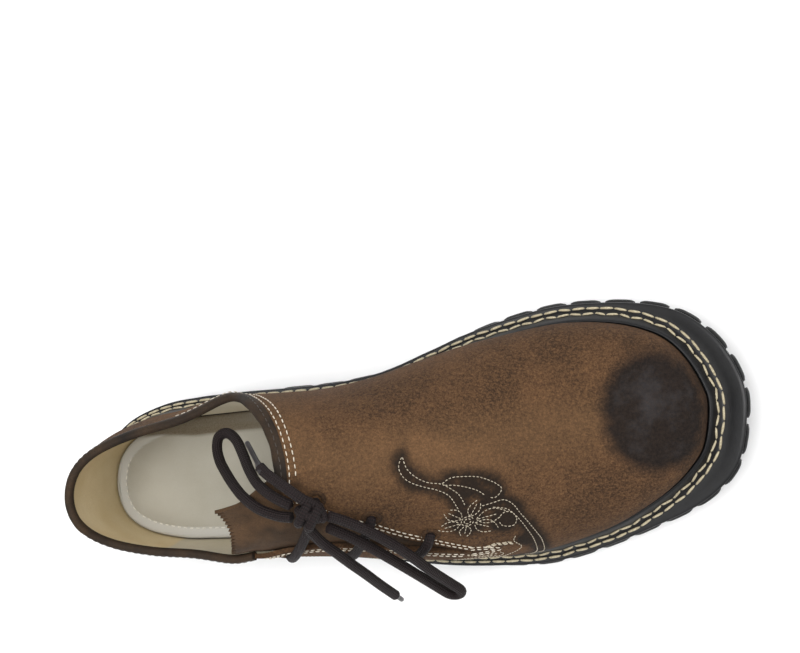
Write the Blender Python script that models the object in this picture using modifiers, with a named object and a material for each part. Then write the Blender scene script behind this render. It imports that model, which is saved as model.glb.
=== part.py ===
"""A side-laced country shoe, right foot, as separate named solids.

Metres, +X to the toe, +Y to the medial side, -Y to the lateral side, +Z up.
The shoe stands on z = 0.  The upper is one leather shell drawn as a family of
ribs that run from the feather line (where leather meets welt) to the rim: the
ridge of the instep in front, and a line round the ankle above the collar
behind.  Everything else is an offset of that same surface or of its outline.
"""
from collections import namedtuple
from math import cos, pi, radians, sin

import bmesh
import bpy
import numpy as np

MM = 0.001
CLEARANCE = 0.3 * MM            # between faces that meet

# Driving sizes of the shoe
LENGTH = 300 * MM               # outsole, heel lip to toe
BALL_WIDTH = 110 * MM           # outsole at the ball
INSTEP = 84 * MM                # ridge at the collar, above the feather line
WALL = 2.0 * MM                 # leather and lining of the upper
TOE_SPRING = 22 * MM            # rise of the sole at the toe
SPRING_START = 200 * MM         # where the sole leaves the floor

# Welt and sole stack, heights of the welt's stitched ledge above the floor
LEDGE_FORE = 17 * MM
HEEL_LIFT = 8 * MM              # how much higher the ledge is over the heel
LIFT_BACK = 35 * MM             # the lift is whole behind this x
LIFT_FRONT = 110 * MM           # and gone in front of this one
RAND = 6.5 * MM                 # folded welt, ledge to feather line
WELT_THICK = 2.7 * MM
MIDSOLE_THICK = 4.8 * MM
OUTSOLE_BASE = 3.9 * MM
WELT_HEEL = 5.0 * MM            # ledge width beyond the feather line
WELT_WAIST = 6.5 * MM
WELT_BALL = 8.6 * MM
WELT_TOE = 16.3 * MM
WAIST_FOLD = 5                  # ribs between which the welt widens
BALL_FOLDS = (8, 13)
TOE_FOLDS = (13.5, 18)

# Heel block and tread
HEEL_FRONT = 57 * MM            # breast of the heel at the floor
BREAST_SLOPE = 4 * MM
HEEL_LEAN = 5.6 * MM            # how far the heel's foot stands in from its lip
HEEL_TREAD = 2.6 * MM
TREAD_START = 88 * MM
LUG_PITCH = 15.8 * MM
LUG_WIDTH = 10.7 * MM
LUG_REACH = 23 * MM             # edge lug, from the sole's edge inward
LUG_TAPER = 1.2 * MM            # draft of a lug's walls from root to foot
HEEL_LUG_PITCH = 13.6 * MM
HEEL_LUG_WIDTH = 11.3 * MM
HEEL_LUG_REACH = 17 * MM
HEEL_DRAFT = 0.5 * MM
EDGE_INSET = 0.6 * MM           # outsole edge behind the midsole's lip

# Overlays, tongue, insole, laces
STAY_THICK = 1.1 * MM
BINDING = 2.8 * MM              # diameter of the collar's rolled edge
BINDING_GAP = 0.7 * MM
TONGUE_THICK = 1.6 * MM
TONGUE_LAP = 0.10               # how far it runs under both throat edges
TONGUE_GAP = 1.1 * MM           # slack between tongue and lining
TONGUE_BACK = 5.0               # ribs between which it reaches
TONGUE_FRONT = 11.5
INSOLE_THICK = 4.0 * MM
INSOLE_GAP = 0.6 * MM
LACE = 4.5 * MM                 # diameter of the round lace
LACE_LIFT = 2.8 * MM            # a bar's centre line above the leather
KNOT_SIZE = (8.0, 6.6, 5.4)     # half sizes in millimetres
KNOT_FOLD = 7.1                 # the knot sits over the first bar
KNOT_SHARE = 0.85
KNOT_LIFT = 10.8 * MM

# Ribs.  x in shares of LENGTH, y of BALL_WIDTH, h of INSTEP above the feather
# line, lean and rise in degrees: lean outward at the foot of the rib, rise of
# its direction at the rim.  low and high are the reach of the rib's two
# handles as shares of its chord.
Rib = namedtuple("Rib", "x y rim_x rim_y rim_h lean rise low high")
HEEL_RIB = Rib(.017, 0, .067, .009, .95, 3, 60, .35, .35)
MEDIAL = [
    Rib(.030, .139, .073, .075, .95, 4, 65, .35, .35),
    Rib(.067, .232, .097, .135, .95, 6, 72, .35, .35),
    Rib(.123, .279, .147, .190, .96, 9, 80, .35, .35),
    Rib(.173, .288, .227, .210, 1.0, 11, 76, .36, .36),
    Rib(.217, .288, .317, .165, 1.06, 13, 45, .43, .38),
    Rib(.253, .287, .387, .045, 1.0, 14, 0, .50, .42),
    Rib(.317, .281, .420, .050, .976, 15, 0, .49, .38),
    Rib(.390, .281, .465, .055, .935, 17, 0, .48, .34),
    Rib(.467, .303, .520, .062, .887, 20, 0, .48, .33),
    Rib(.540, .357, .577, .068, .821, 20, 0, .48, .33),
    Rib(.610, .411, .633, .075, .732, 18, 0, .47, .33),
    Rib(.677, .446, .690, .080, .613, 15, 0, .47, .34),
    Rib(.740, .466, .743, .085, .512, 13, 0, .46, .36),
    Rib(.798, .458, .793, .090, .444, 11, 0, .46, .38),
    Rib(.850, .426, .827, .093, .411, 9, 4, .47, .40),
    Rib(.893, .369, .845, .094, .393, 8, 9, .48, .41),
    Rib(.922, .281, .853, .095, .383, 7, 13, .49, .42),
    Rib(.941, .171, .854, .095, .380, 6, 16, .50, .42),
]
TOE_RIB = Rib(.945, .091, .855, .095, .379, 6, 17, .50, .42)
LATERAL = [
    Rib(.030, -.127, .073, -.055, .95, 4, 65, .35, .35),
    Rib(.067, -.209, .097, -.105, .95, 6, 72, .35, .35),
    Rib(.123, -.255, .147, -.155, .96, 9, 80, .35, .35),
    Rib(.173, -.270, .227, -.165, 1.0, 11, 76, .36, .35),
    Rib(.217, -.279, .317, -.100, 1.06, 12, 45, .40, .33),
    Rib(.253, -.288, .387, .045, 1.0, 12, 0, .44, .32),
    Rib(.317, -.304, .420, .050, .976, 12, 0, .44, .32),
    Rib(.390, -.330, .465, .055, .935, 12, 0, .44, .32),
    Rib(.467, -.364, .520, .062, .887, 12, 0, .44, .32),
    Rib(.540, -.391, .577, .068, .821, 12, 0, .44, .33),
    Rib(.610, -.402, .633, .075, .732, 12, 0, .44, .34),
    Rib(.677, -.402, .690, .080, .613, 12, 0, .44, .35),
    Rib(.737, -.373, .743, .085, .512, 11, 0, .44, .36),
    Rib(.793, -.328, .793, .090, .444, 10, 0, .45, .38),
    Rib(.840, -.268, .827, .093, .411, 9, 4, .46, .40),
    Rib(.879, -.205, .845, .094, .393, 8, 9, .48, .41),
    Rib(.910, -.134, .853, .095, .383, 7, 13, .49, .42),
    Rib(.933, -.050, .854, .095, .380, 6, 16, .50, .42),
]

# Edges of the leather: x in shares of LENGTH, height in shares of INSTEP
MEDIAL_TOP = [(.036, .655), (.077, .660), (.127, .630), (.175, .613),
              (.223, .618), (.270, .635), (.300, .665), (.330, .720)]
LATERAL_TOP = [(.036, .655), (.050, .600), (.067, .562), (.100, .526),
               (.140, .502), (.180, .496), (.227, .502), (.290, .545),
               (.337, .615), (.383, .635), (.417, .622), (.457, .588),
               (.500, .538), (.540, .475), (.570, .425), (.597, .385)]
VAMP_EDGE = [(.360, .985), (.381, .985), (.400, .945), (.425, .860),
             (.450, .790), (.482, .720), (.510, .640), (.540, .570),
             (.565, .500), (.585, .440), (.597, .400)]

# Eyelets of the throat: rib of the hole in the vamp and of the one in the quarter
Eyelet = namedtuple("Eyelet", "vamp quarter")
EYELETS = [Eyelet(7.35, 6.9), Eyelet(8.8, 8.3), Eyelet(10.0, 9.5)]
EYELET_INSET = 0.085            # share of the rib between hole and throat edge

# Free laces: points in millimetres from the middle of the knot
LOOP_BACK = [(-7.2, 4.5, -.4), (-11.4, 6.8, -.4), (-16.2, 9.8, -1.8), (-22.2, 14.2, -6.0),
             (-27.5, 19.8, -13.0), (-31.8, 26.4, -19.5), (-36.0, 32.0, -25.0),
             (-41.0, 34.9, -29.5), (-45.6, 33.8, -31.5), (-47.2, 29.4, -31.5),
             (-45.4, 23.8, -28.0), (-41.2, 18.6, -22.5), (-36.0, 13.6, -16.0),
             (-30.0, 8.8, -9.6), (-22.6, 3.8, -5.4), (-14.6, .4, -4.2), (-8.4, -.8, -3.6)]
END_BACK = [(-1.2, 7.0, 3.2), (-5.6, 11.0, 4.0), (-10.4, 14.8, 3.2), (-15.2, 18.4, 1.6)]
LOOP_FRONT = [(7.4, -1.6, -3.2), (13.0, -4.8, -7.2), (19.6, -9.4, -12.0), (26.0, -15.6, -19.0),
              (32.0, -23.0, -28.0), (37.2, -31.4, -39.0), (41.8, -38.6, -50.0),
              (44.6, -43.6, -57.0), (43.8, -46.6, -61.0), (39.8, -45.0, -59.4),
              (35.0, -39.6, -51.6), (29.6, -32.2, -41.0), (24.0, -25.0, -31.0),
              (18.0, -18.2, -22.6), (11.8, -12.2, -15.4), (5.0, -6.8, -8.6)]
END_FRONT = [(-2.2, -5.8, -4.0), (.8, -12.6, -10.4), (4.4, -18.4, -17.4), (7.4, -24.4, -26.0),
             (10.4, -30.8, -36.4), (13.0, -37.6, -48.0), (15.4, -44.0, -60.0)]

# Columns of the upper, counted in ribs from the heel (0) to the toe (19)
RIBS = len(MEDIAL) + 1
COLLAR_RIB = 6                  # the collar's front edge
THROAT_RIB = 10.75              # the throat's front end
EVEN_RIB = 13                   # from here on the mesh rows are even
QUARTER_ROWS = 8
GAP_ROWS = 2
VAMP_ROWS = 4
ROWS = QUARTER_ROWS + GAP_ROWS + VAMP_ROWS

LOOP = [HEEL_RIB] + MEDIAL + [TOE_RIB] + LATERAL[::-1]
LOOP_VALUES = np.array(LOOP)


def smoothstep(a, b, x):
    u = min(max((x - a) / (b - a), 0.0), 1.0)
    return u * u * (3 - 2 * u)


def spring(x):
    return TOE_SPRING * (max(x - SPRING_START, 0.0) / (LENGTH - SPRING_START)) ** 2


def ledge(x):
    """Height of the welt's stitched ledge."""
    return LEDGE_FORE + HEEL_LIFT * (1 - smoothstep(LIFT_BACK, LIFT_FRONT, x)) + spring(x)


def feather(x):
    """Height at which the leather leaves the welt."""
    return ledge(x) + RAND


def fold(q):
    """Ribs from the heel, whichever side the column q of the loop is on."""
    q = q % len(LOOP)
    return q if q <= RIBS else len(LOOP) - q


def loop_row(q):
    """Rib values at a fractional place on the closed loop, Catmull-Rom."""
    n = len(LOOP)
    i = int(np.floor(q))
    u = q - i
    p0, p1, p2, p3 = (LOOP_VALUES[(i + k) % n] for k in (-1, 0, 1, 2))
    return 0.5 * (2 * p1 + (p2 - p0) * u + (2 * p0 - 5 * p1 + 4 * p2 - p3) * u * u
                  + (3 * p1 - p0 - 3 * p2 + p3) * u ** 3)


def rib(q):
    """Rib at q; in front of the collar both sides share the medial rim."""
    row = loop_row(q)
    if fold(q) >= COLLAR_RIB and q % len(LOOP) > RIBS:
        row[2:5] = loop_row(fold(q))[2:5]
    return Rib(*row)


def foot(q):
    r = loop_row(q)
    return np.array([r[0] * LENGTH, r[1] * BALL_WIDTH])


def outward(q):
    """Unit normal of the feather line, seen from above."""
    t = foot(q + 0.05) - foot(q - 0.05)
    n = np.array([-t[1], t[0]])
    return n / np.linalg.norm(n)


def welt_width(q):
    f = fold(q)
    waist = WELT_HEEL + (WELT_WAIST - WELT_HEEL) * smoothstep(0, WAIST_FOLD, f)
    ball = waist + (WELT_BALL - WELT_WAIST) * smoothstep(*BALL_FOLDS, f)
    return ball + (WELT_TOE - WELT_BALL) * smoothstep(*TOE_FOLDS, f)


def edge(q, inset=0.0):
    """The sole's edge at q, seen from above."""
    return foot(q) + outward(q) * (welt_width(q) - inset)


def on_rib(q, t):
    r = rib(q)
    out = np.append(outward(q), 0.0)
    up = np.array([0.0, 0.0, 1.0])
    xy = foot(q)
    base = np.array([xy[0], xy[1], feather(xy[0])])
    rim_x = r.rim_x * LENGTH
    rim = np.array([rim_x, r.rim_y * BALL_WIDTH, feather(rim_x) + r.rim_h * INSTEP])
    chord = np.linalg.norm(rim - base)
    lean, rise = radians(r.lean), radians(r.rise)
    low = base + r.low * chord * (out * sin(lean) + up * cos(lean))
    high = rim - r.high * chord * (-out * cos(rise) + up * sin(rise))
    return ((1 - t) ** 3 * base + 3 * (1 - t) ** 2 * t * low
            + 3 * (1 - t) * t * t * high + t ** 3 * rim)


def surface(q, t, offset=0.0):
    """Point of the upper's outer face, or offset from it along its normal."""
    p = on_rib(q, t)
    if offset:
        s = min(max(t, 0.01), 0.985)
        along = on_rib(q + 0.05, s) - on_rib(q - 0.05, s)
        up = on_rib(q, s + 0.01) - on_rib(q, s - 0.01)
        n = np.cross(up, along)
        p = p + offset * n / np.linalg.norm(n)
    return p


def crossing(q, table, drop=0.0):
    """Where the rib at q meets an edge drawn in the side view."""
    xs = [row[0] * LENGTH for row in table]
    hs = [row[1] * INSTEP - drop for row in table]
    last = -1.0
    for t in np.linspace(0.05, 1.0, 96):
        p = on_rib(q, t)
        over = p[2] - feather(p[0]) - np.interp(p[0], xs, hs)
        if over >= 0:
            return t - 0.01 * over / (over - last)
        last = over
    return 1.0


def quarter_top(q):
    """Rib share of the collar or throat edge, then an even spread in front."""
    medial = q % len(LOOP) <= RIBS
    limit = COLLAR_RIB if medial else THROAT_RIB
    f = fold(q)
    at = min(f, limit)
    drop = (BINDING + BINDING_GAP) * (1 - smoothstep(COLLAR_RIB, COLLAR_RIB + 0.5, f))
    if medial:
        t = crossing(at, MEDIAL_TOP, BINDING + BINDING_GAP)
    else:
        t = crossing(len(LOOP) - at, LATERAL_TOP, drop)
    return t + (0.5 - t) * smoothstep(limit, EVEN_RIB, f)


def vamp_bottom(q):
    medial = q % len(LOOP) <= RIBS
    f = fold(q)
    even = GAP_ROWS / (GAP_ROWS + VAMP_ROWS)
    if medial:
        t = quarter_top(q)
        return t + (1 - t) * even
    at = min(max(f, COLLAR_RIB), THROAT_RIB)
    t = crossing(len(LOOP) - at, VAMP_EDGE)
    return t + (0.5 + 0.5 * even - t) * smoothstep(THROAT_RIB, EVEN_RIB, f)


def row_share(q, j):
    """Rib share of mesh row j at column q."""
    low = quarter_top(q)
    if j <= QUARTER_ROWS:
        return low * j / QUARTER_ROWS
    high = vamp_bottom(q)
    if j <= QUARTER_ROWS + GAP_ROWS:
        return low + (high - low) * (j - QUARTER_ROWS) / GAP_ROWS
    return high + (1 - high) * (j - QUARTER_ROWS - GAP_ROWS) / VAMP_ROWS


def columns():
    steps = [f / 2 for f in range(0, 2 * RIBS)] + [THROAT_RIB]
    medial = sorted(set(steps) - {THROAT_RIB})
    lateral = sorted(steps)
    return medial + [float(RIBS)] + [len(LOOP) - f for f in lateral[:0:-1]]


def collection(name, hidden=False):
    made = bpy.data.collections.new(name)
    bpy.context.scene.collection.children.link(made)
    made.hide_render = hidden
    return made


def material(name, colour, roughness, metallic=0.0):
    made = bpy.data.materials.new(name)
    made.use_nodes = True
    shader = made.node_tree.nodes["Principled BSDF"]
    shader.inputs["Base Color"].default_value = (*colour, 1)
    shader.inputs["Roughness"].default_value = roughness
    shader.inputs["Metallic"].default_value = metallic
    return made


def new_object(name, verts, faces, group, finish, smooth=True):
    mesh = bpy.data.meshes.new(name)
    mesh.from_pydata([tuple(v) for v in verts], [], faces)
    mesh.validate()
    bm = bmesh.new()
    bm.from_mesh(mesh)
    bmesh.ops.remove_doubles(bm, verts=bm.verts, dist=1e-5)
    bm.to_mesh(mesh)
    bm.free()
    made = bpy.data.objects.new(name, mesh)
    group.objects.link(made)
    made.data.materials.append(finish)
    if smooth:
        mesh.shade_smooth()
    return made


def thicken(target, thickness, offset):
    solid = target.modifiers.new("wall", 'SOLIDIFY')
    solid.thickness = thickness
    solid.offset = offset
    solid.use_rim = True
    solid.use_quality_normals = True
    return solid


def grid_faces(rows, cols, keep=lambda i, j: True):
    return [(i * rows + j, (i + 1) * rows + j, (i + 1) * rows + j + 1, i * rows + j + 1)
            for i in range(cols - 1) for j in range(rows - 1) if keep(i, j)]


def lasting_edge(q):
    """Bottom edge of the leather, tucked behind the welt down to the midsole."""
    p = foot(q)
    return np.array([p[0], p[1], ledge(p[0]) - WELT_THICK])


def build_upper(group, finish, shift):
    """One open leather surface, thickened inward."""
    cols = columns()
    n = len(cols)
    index, verts = {}, []

    def vert(i, j):
        q = cols[i % n]
        f = fold(q)
        key = (i % n, j)
        if j == ROWS and q > RIBS:
            key = (cols.index(f) if f in cols else key[0], j)
        if key not in index:
            index[key] = len(verts)
            p = lasting_edge(q) if j < 0 else surface(q, row_share(q, j))
            verts.append(p + shift)
        return index[key]

    faces = []
    for i in range(n):
        q0, q1 = cols[i], cols[(i + 1) % n]
        f0, f1 = fold(q0), fold(q1)
        behind = min(f0, f1) < COLLAR_RIB
        lateral = max(q0, q1) > RIBS or q1 == 0
        throat = lateral and max(f0, f1) <= THROAT_RIB
        for j in range(-1, ROWS):
            if behind and j >= QUARTER_ROWS:
                continue
            if throat and QUARTER_ROWS <= j < QUARTER_ROWS + GAP_ROWS:
                continue
            faces.append((vert(i, j + 1), vert(i + 1, j + 1), vert(i + 1, j), vert(i, j)))
    made = new_object("upper", verts, faces, group, finish)
    thicken(made, WALL, -1)
    return made


def patch(name, group, finish, shift, qs, shares, offset, thickness, side):
    """A piece of the upper's own surface, offset and thickened."""
    rows = len(shares(qs[0]))
    verts = []
    for q in qs:
        verts.extend(surface(q, t, offset) + shift for t in shares(q))
    faces = [face[::-1] for face in grid_faces(rows, len(qs))]
    made = new_object(name, verts, faces, group, finish)
    thicken(made, thickness, side)
    return made


def plate(name, group, finish, shift, levels, across=2, step=0.5):
    """A closed plate: levels list (outline inset, height function) from the bottom up."""
    stations = np.arange(0, RIBS + step / 2, step)
    loop_qs = list(stations) + [len(LOOP) - f for f in stations[-2:0:-1]]
    verts, faces = [], []

    def ring(inset, height):
        first = len(verts)
        for q in loop_qs:
            p = inset(q)
            verts.append(np.array([p[0], p[1], height(p[0])]) + shift)
        return list(range(first, first + len(loop_qs)))

    def cap(ids, height, upward):
        """Fill a ring with rows that join its medial and lateral sides."""
        half = len(stations)
        table = [[ids[0]]]
        for i in range(1, half - 1):
            a, b = ids[i], ids[len(loop_qs) - i]
            pa, pb = verts[a], verts[b]
            line = [a]
            for k in range(1, across):
                p = pa + (pb - pa) * k / across - shift
                verts.append(np.array([p[0], p[1], height(p[0])]) + shift)
                line.append(len(verts) - 1)
            table.append(line + [b])
        table.append([ids[half - 1]])
        made = []
        for first, second in zip(table, table[1:]):
            if len(first) == 1:
                made += [(first[0], second[k + 1], second[k]) for k in range(across)]
            elif len(second) == 1:
                made += [(second[0], first[k], first[k + 1]) for k in range(across)]
            else:
                made += [(first[k], first[k + 1], second[k + 1], second[k]) for k in range(across)]
        return made if upward else [f[::-1] for f in made]

    rings = [ring(*level) for level in levels]
    count = len(loop_qs)
    for low, high in zip(rings, rings[1:]):
        for i in range(count):
            k = (i + 1) % count
            faces.append((high[i], high[k], low[k], low[i]))
    faces += cap(rings[0], levels[0][1], False)
    faces += cap(rings[-1], levels[-1][1], True)
    made = new_object(name, verts, faces, group, finish)
    made.data.set_sharp_from_angle(angle=radians(40))
    return made


def build_welt(group, finish, shift):
    """A strip of one section all round: flat stitched ledge, folded up at the leather."""
    section = [(0.0, -1.0), (1.0, -1.0), (1.0, -.25), (.92, 0.0), (.72, .02),
               (.50, .22), (.32, .58), (.20, .86), (.10, 1.0), (0.0, .96)]
    qs = np.arange(0, len(LOOP), 0.5)
    verts, faces = [], []
    for q in qs:
        base, out, width = foot(q), outward(q), welt_width(q)
        inner = CLEARANCE + 0.1 * MM
        for share, height in section:
            d = inner + (width - inner) * share
            xy = base + out * d
            lift = height * (WELT_THICK - CLEARANCE) if height < 0 else height * RAND
            if height == -1.0:
                lift = -WELT_THICK
            verts.append(np.array([xy[0], xy[1], ledge(xy[0]) + lift]) + shift)
    rows, n = len(section), len(qs)
    for i in range(n):
        for j in range(rows):
            a, b = i * rows, ((i + 1) % n) * rows
            k = (j + 1) % rows
            faces.append((a + j, a + k, b + k, b + j))
    made = new_object("welt", verts, faces, group, finish)
    made.data.set_sharp_from_angle(angle=radians(50))
    return made


def recalc(target):
    bm = bmesh.new()
    bm.from_mesh(target.data)
    bmesh.ops.recalc_face_normals(bm, faces=bm.faces)
    bm.to_mesh(target.data)
    bm.free()


def midsole_top(x):
    return ledge(x) - WELT_THICK - CLEARANCE


def midsole_bottom(x):
    return midsole_top(x) - MIDSOLE_THICK


def base_top(x):
    return midsole_bottom(x) - CLEARANCE


def base_bottom(x):
    return base_top(x) - OUTSOLE_BASE


def block(verts, faces, top, bottom):
    """A tapered block between two quads of points, top first."""
    first = len(verts)
    verts.extend(top)
    verts.extend(bottom)
    n = len(top)
    faces.append(tuple(first + k for k in range(n)))
    faces.append(tuple(first + n + k for k in reversed(range(n))))
    for k in range(n):
        m = (k + 1) % n
        faces.append((first + m, first + k, first + n + k, first + n + m))


def edge_arcs(step=0.05):
    """Arc length along the sole's edge against loop position."""
    qs = np.arange(0, len(LOOP) + step, step)
    pts = np.array([edge(q) for q in qs])
    arcs = np.concatenate([[0], np.cumsum(np.linalg.norm(np.diff(pts, axis=0), axis=1))])
    return qs, arcs


def lug_corners(q0, q1, reach, grow):
    """Four corners of an edge lug, from its outer edge inward."""
    middle = (q0 + q1) / 2
    side = outward(middle)
    along = np.array([side[1], -side[0]])
    outer0, outer1 = edge(q0, EDGE_INSET), edge(q1, EDGE_INSET)
    inner0, inner1 = edge(q0, reach), edge(q1, reach)
    return [outer0 - along * grow, outer1 + along * grow,
            inner1 + (along - side) * grow, inner0 - (along + side) * grow]


def add_lug(verts, faces, corners_root, corners_foot, root, floor, shift):
    top = [np.array([c[0], c[1], root(c[0])]) + shift for c in corners_root]
    bottom = [np.array([c[0], c[1], floor(c[0])]) + shift for c in corners_foot]
    block(verts, faces, top, bottom)


def build_outsole(group, cutters, finish, shift):
    base = plate("outsole", group, finish, shift,
                 [(lambda q: edge(q, EDGE_INSET), base_bottom),
                  (lambda q: edge(q, EDGE_INSET), base_top)])
    recalc(base)
    verts, faces = [], []
    root_sink = 1.5 * MM

    def root(x):
        return base_bottom(x) + root_sink

    qs, arcs = edge_arcs()
    xs = np.array([edge(q)[0] for q in qs])
    start = np.interp(TREAD_START, xs[:400], arcs[:400])
    total = arcs[-1]
    lateral = (xs < TREAD_START) & (qs > RIBS)
    end = arcs[np.argmax(lateral)] if lateral.any() else total
    count = int(round((end - start) / LUG_PITCH))
    pitch = (end - start) / count
    for k in range(count):
        a = start + pitch * k + (pitch - LUG_WIDTH) / 2
        q0, q1 = np.interp([a, a + LUG_WIDTH], arcs, qs)
        add_lug(verts, faces, lug_corners(q0, q1, LUG_REACH, LUG_TAPER),
                lug_corners(q0, q1, LUG_REACH, 0), root, spring, shift)
    bars = int((LENGTH - WELT_TOE - LUG_REACH - TREAD_START) / LUG_PITCH)
    for k in range(bars):
        x = TREAD_START + LUG_PITCH * (k + 0.5)
        sides = [np.interp(x, xs[s], [edge(q)[1] for q in qs[s]])
                 for s in (slice(0, 380),)]
        low = np.interp(x, xs[::-1][:380], [edge(q)[1] for q in qs[::-1][:380]])
        middle = (sides[0] + low) / 2
        half = (sides[0] - low) / 2 - LUG_REACH - 3 * MM
        if half < 3 * MM:
            continue
        w = LUG_WIDTH / 2

        def bar(grow):
            return [np.array([x - w - grow, middle + half + grow]),
                    np.array([x + w + grow, middle + half + grow]),
                    np.array([x + w + grow, middle - half - grow]),
                    np.array([x - w - grow, middle - half - grow])]
        add_lug(verts, faces, bar(LUG_TAPER), bar(0), root, spring, shift)
    lugs = new_object("tread", verts, faces, cutters, finish, smooth=False)
    recalc(lugs)
    heel = build_heel(cutters, finish, shift)
    for name, piece in (("tread", lugs), ("heel", heel)):
        piece.hide_render = True
        piece.display_type = 'WIRE'
        join = base.modifiers.new(name, 'BOOLEAN')
        join.operation = 'UNION'
        join.solver = 'EXACT'
        join.use_self = True
        join.object = piece
    return base


def build_heel(cutters, finish, shift):
    """Heel block and its tread, one mesh of two overlapping bodies."""
    qs = [q for q in np.arange(0, 9, 0.5) if edge(q)[0] < HEEL_FRONT]
    side = [*(-q for q in qs[:0:-1]), *qs]

    def outline(lean, front):
        pts = [edge(q, EDGE_INSET + lean) for q in side]
        return [np.array([front, pts[0][1]])] + pts + [np.array([front, pts[-1][1]])]

    levels = [(0.0, HEEL_FRONT + BREAST_SLOPE, base_bottom(HEEL_FRONT) + 1.5 * MM),
              (HEEL_LEAN * .5, HEEL_FRONT + 1 * MM, HEEL_TREAD + 3 * MM),
              (HEEL_LEAN * .8, HEEL_FRONT, HEEL_TREAD)]
    verts, faces = [], []
    rings = []
    for lean, front, z in levels:
        first = len(verts)
        pts = outline(lean, front)
        verts.extend(np.array([p[0], p[1], z]) + shift for p in pts)
        rings.append(list(range(first, first + len(pts))))
    n = len(rings[0])
    faces.append(tuple(rings[0]))
    faces.append(tuple(reversed(rings[-1])))
    for high, low in zip(rings, rings[1:]):
        for i in range(n):
            k = (i + 1) % n
            faces.append((high[k], high[i], low[i], low[k]))
    arc_q, arcs = edge_arcs()
    back = np.interp(HEEL_FRONT - 1 * MM, [edge(q)[0] for q in arc_q[:160]], arcs[:160])
    count = int(2 * back / HEEL_LUG_PITCH)
    pitch = 2 * back / count

    def lug(a0, a1, grow):
        q0, q1 = (np.interp(abs(a), arcs, arc_q) * (1 if a >= 0 else -1) for a in (a0, a1))
        middle = (q0 + q1) / 2
        out = outward(middle)
        along = np.array([out[1], -out[0]])
        o0, o1 = (edge(q, EDGE_INSET + HEEL_LEAN) for q in (q0, q1))
        i0, i1 = (edge(q, EDGE_INSET + HEEL_LEAN + HEEL_LUG_REACH) for q in (q0, q1))
        return [o0 + (out - along) * grow, o1 + (out + along) * grow,
                i1 + (along - out) * grow, i0 - (along + out) * grow]
    for k in range(count):
        a0 = -back + pitch * k + (pitch - HEEL_LUG_WIDTH) / 2
        a1 = a0 + HEEL_LUG_WIDTH
        add_lug(verts, faces, lug(a0, a1, HEEL_DRAFT), lug(a0, a1, 0),
                lambda x: HEEL_TREAD + 1 * MM, lambda x: 0.0, shift)
    made = new_object("heel", verts, faces, cutters, finish, smooth=False)
    recalc(made)
    return made


def build_midsole(group, finish, shift):
    round_in = 1.0 * MM
    return plate("midsole", group, finish, shift,
                 [(lambda q: edge(q, round_in), midsole_bottom),
                  (lambda q: edge(q), lambda x: midsole_bottom(x) + round_in),
                  (lambda q: edge(q), lambda x: midsole_top(x) - round_in),
                  (lambda q: edge(q, round_in), midsole_top)])


def build_insole(group, finish, shift):
    margin = WALL + INSOLE_GAP

    def outline(q):
        return foot(q) - outward(q) * margin
    return plate("insole", group, finish, shift,
                 [(outline, lambda x: ledge(x) - WELT_THICK),
                  (outline, lambda x: ledge(x) - WELT_THICK + INSOLE_THICK)])


def build_tongue(group, finish, shift):
    """Suede flap under the throat; behind the collar front it spreads to the ridge."""
    count = int(round(2 * (TONGUE_FRONT - TONGUE_BACK)))
    qs = [len(LOOP) - f for f in np.linspace(TONGUE_FRONT, TONGUE_BACK, count + 1)]
    rows = 10

    def shares(q):
        f = fold(q)
        low = quarter_top(q) - TONGUE_LAP
        high = min(vamp_bottom(q) + TONGUE_LAP, 1.0)
        spread = 0.96 - 0.26 * (1 - smoothstep(TONGUE_BACK, COLLAR_RIB, f))
        high += (spread - high) * (1 - smoothstep(COLLAR_RIB, COLLAR_RIB + 2, f))
        return [low + (high - low) * k / rows for k in range(rows + 1)]
    return patch("tongue", group, finish, shift, qs, shares,
                 -(WALL + TONGUE_GAP), TONGUE_THICK, -1)


def build_stay(group, finish, shift):
    """Strip over the heel seam, narrow in the middle."""
    def half(t):
        return 0.75 + 0.25 * cos(2 * pi * t) + 0.25 * t
    count, rows = 6, 8
    verts = []
    for i in range(-count, count + 1):
        for k in range(rows + 1):
            t = 0.01 + (quarter_top(0) - 0.03) * k / rows
            q = half(k / rows) * i / count
            verts.append(surface(q, t, CLEARANCE) + shift)
    faces = [face[::-1] for face in grid_faces(rows + 1, 2 * count + 1)]
    made = new_object("back_stay", verts, faces, group, finish)
    thicken(made, STAY_THICK, 1)
    return made


def smooth_route(points, spacing):
    """Even points of a smooth curve through a route's own points."""
    own = np.array(points, dtype=float)
    row = np.vstack([2 * own[0] - own[1], own, 2 * own[-1] - own[-2]])
    fine = []
    for a, b, c, d in zip(row, row[1:], row[2:], row[3:]):
        for u in np.linspace(0, 1, 16, endpoint=False):
            fine.append(0.5 * (2 * b + (c - a) * u + (2 * a - 5 * b + 4 * c - d) * u * u
                               + (3 * b - a - 3 * c + d) * u ** 3))
    fine = np.array(fine + [own[-1]])
    run = np.concatenate([[0], np.cumsum(np.linalg.norm(np.diff(fine, axis=0), axis=1))])
    count = max(2, int(round(run[-1] / spacing)))
    return [np.array([np.interp(s, run, fine[:, k]) for k in range(3)])
            for s in np.linspace(0, run[-1], count + 1)]


def tube(name, group, finish, points, diameter, resolution=2):
    curve = bpy.data.curves.new(name, 'CURVE')
    curve.dimensions = '3D'
    curve.bevel_depth = diameter / 2
    curve.bevel_resolution = resolution
    curve.use_fill_caps = True
    spline = curve.splines.new('POLY')
    spline.points.add(len(points) - 1)
    for point, p in zip(spline.points, points):
        point.co = (*p, 1)
    curve.materials.append(finish)
    made = bpy.data.objects.new(name, curve)
    group.objects.link(made)
    return made


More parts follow.
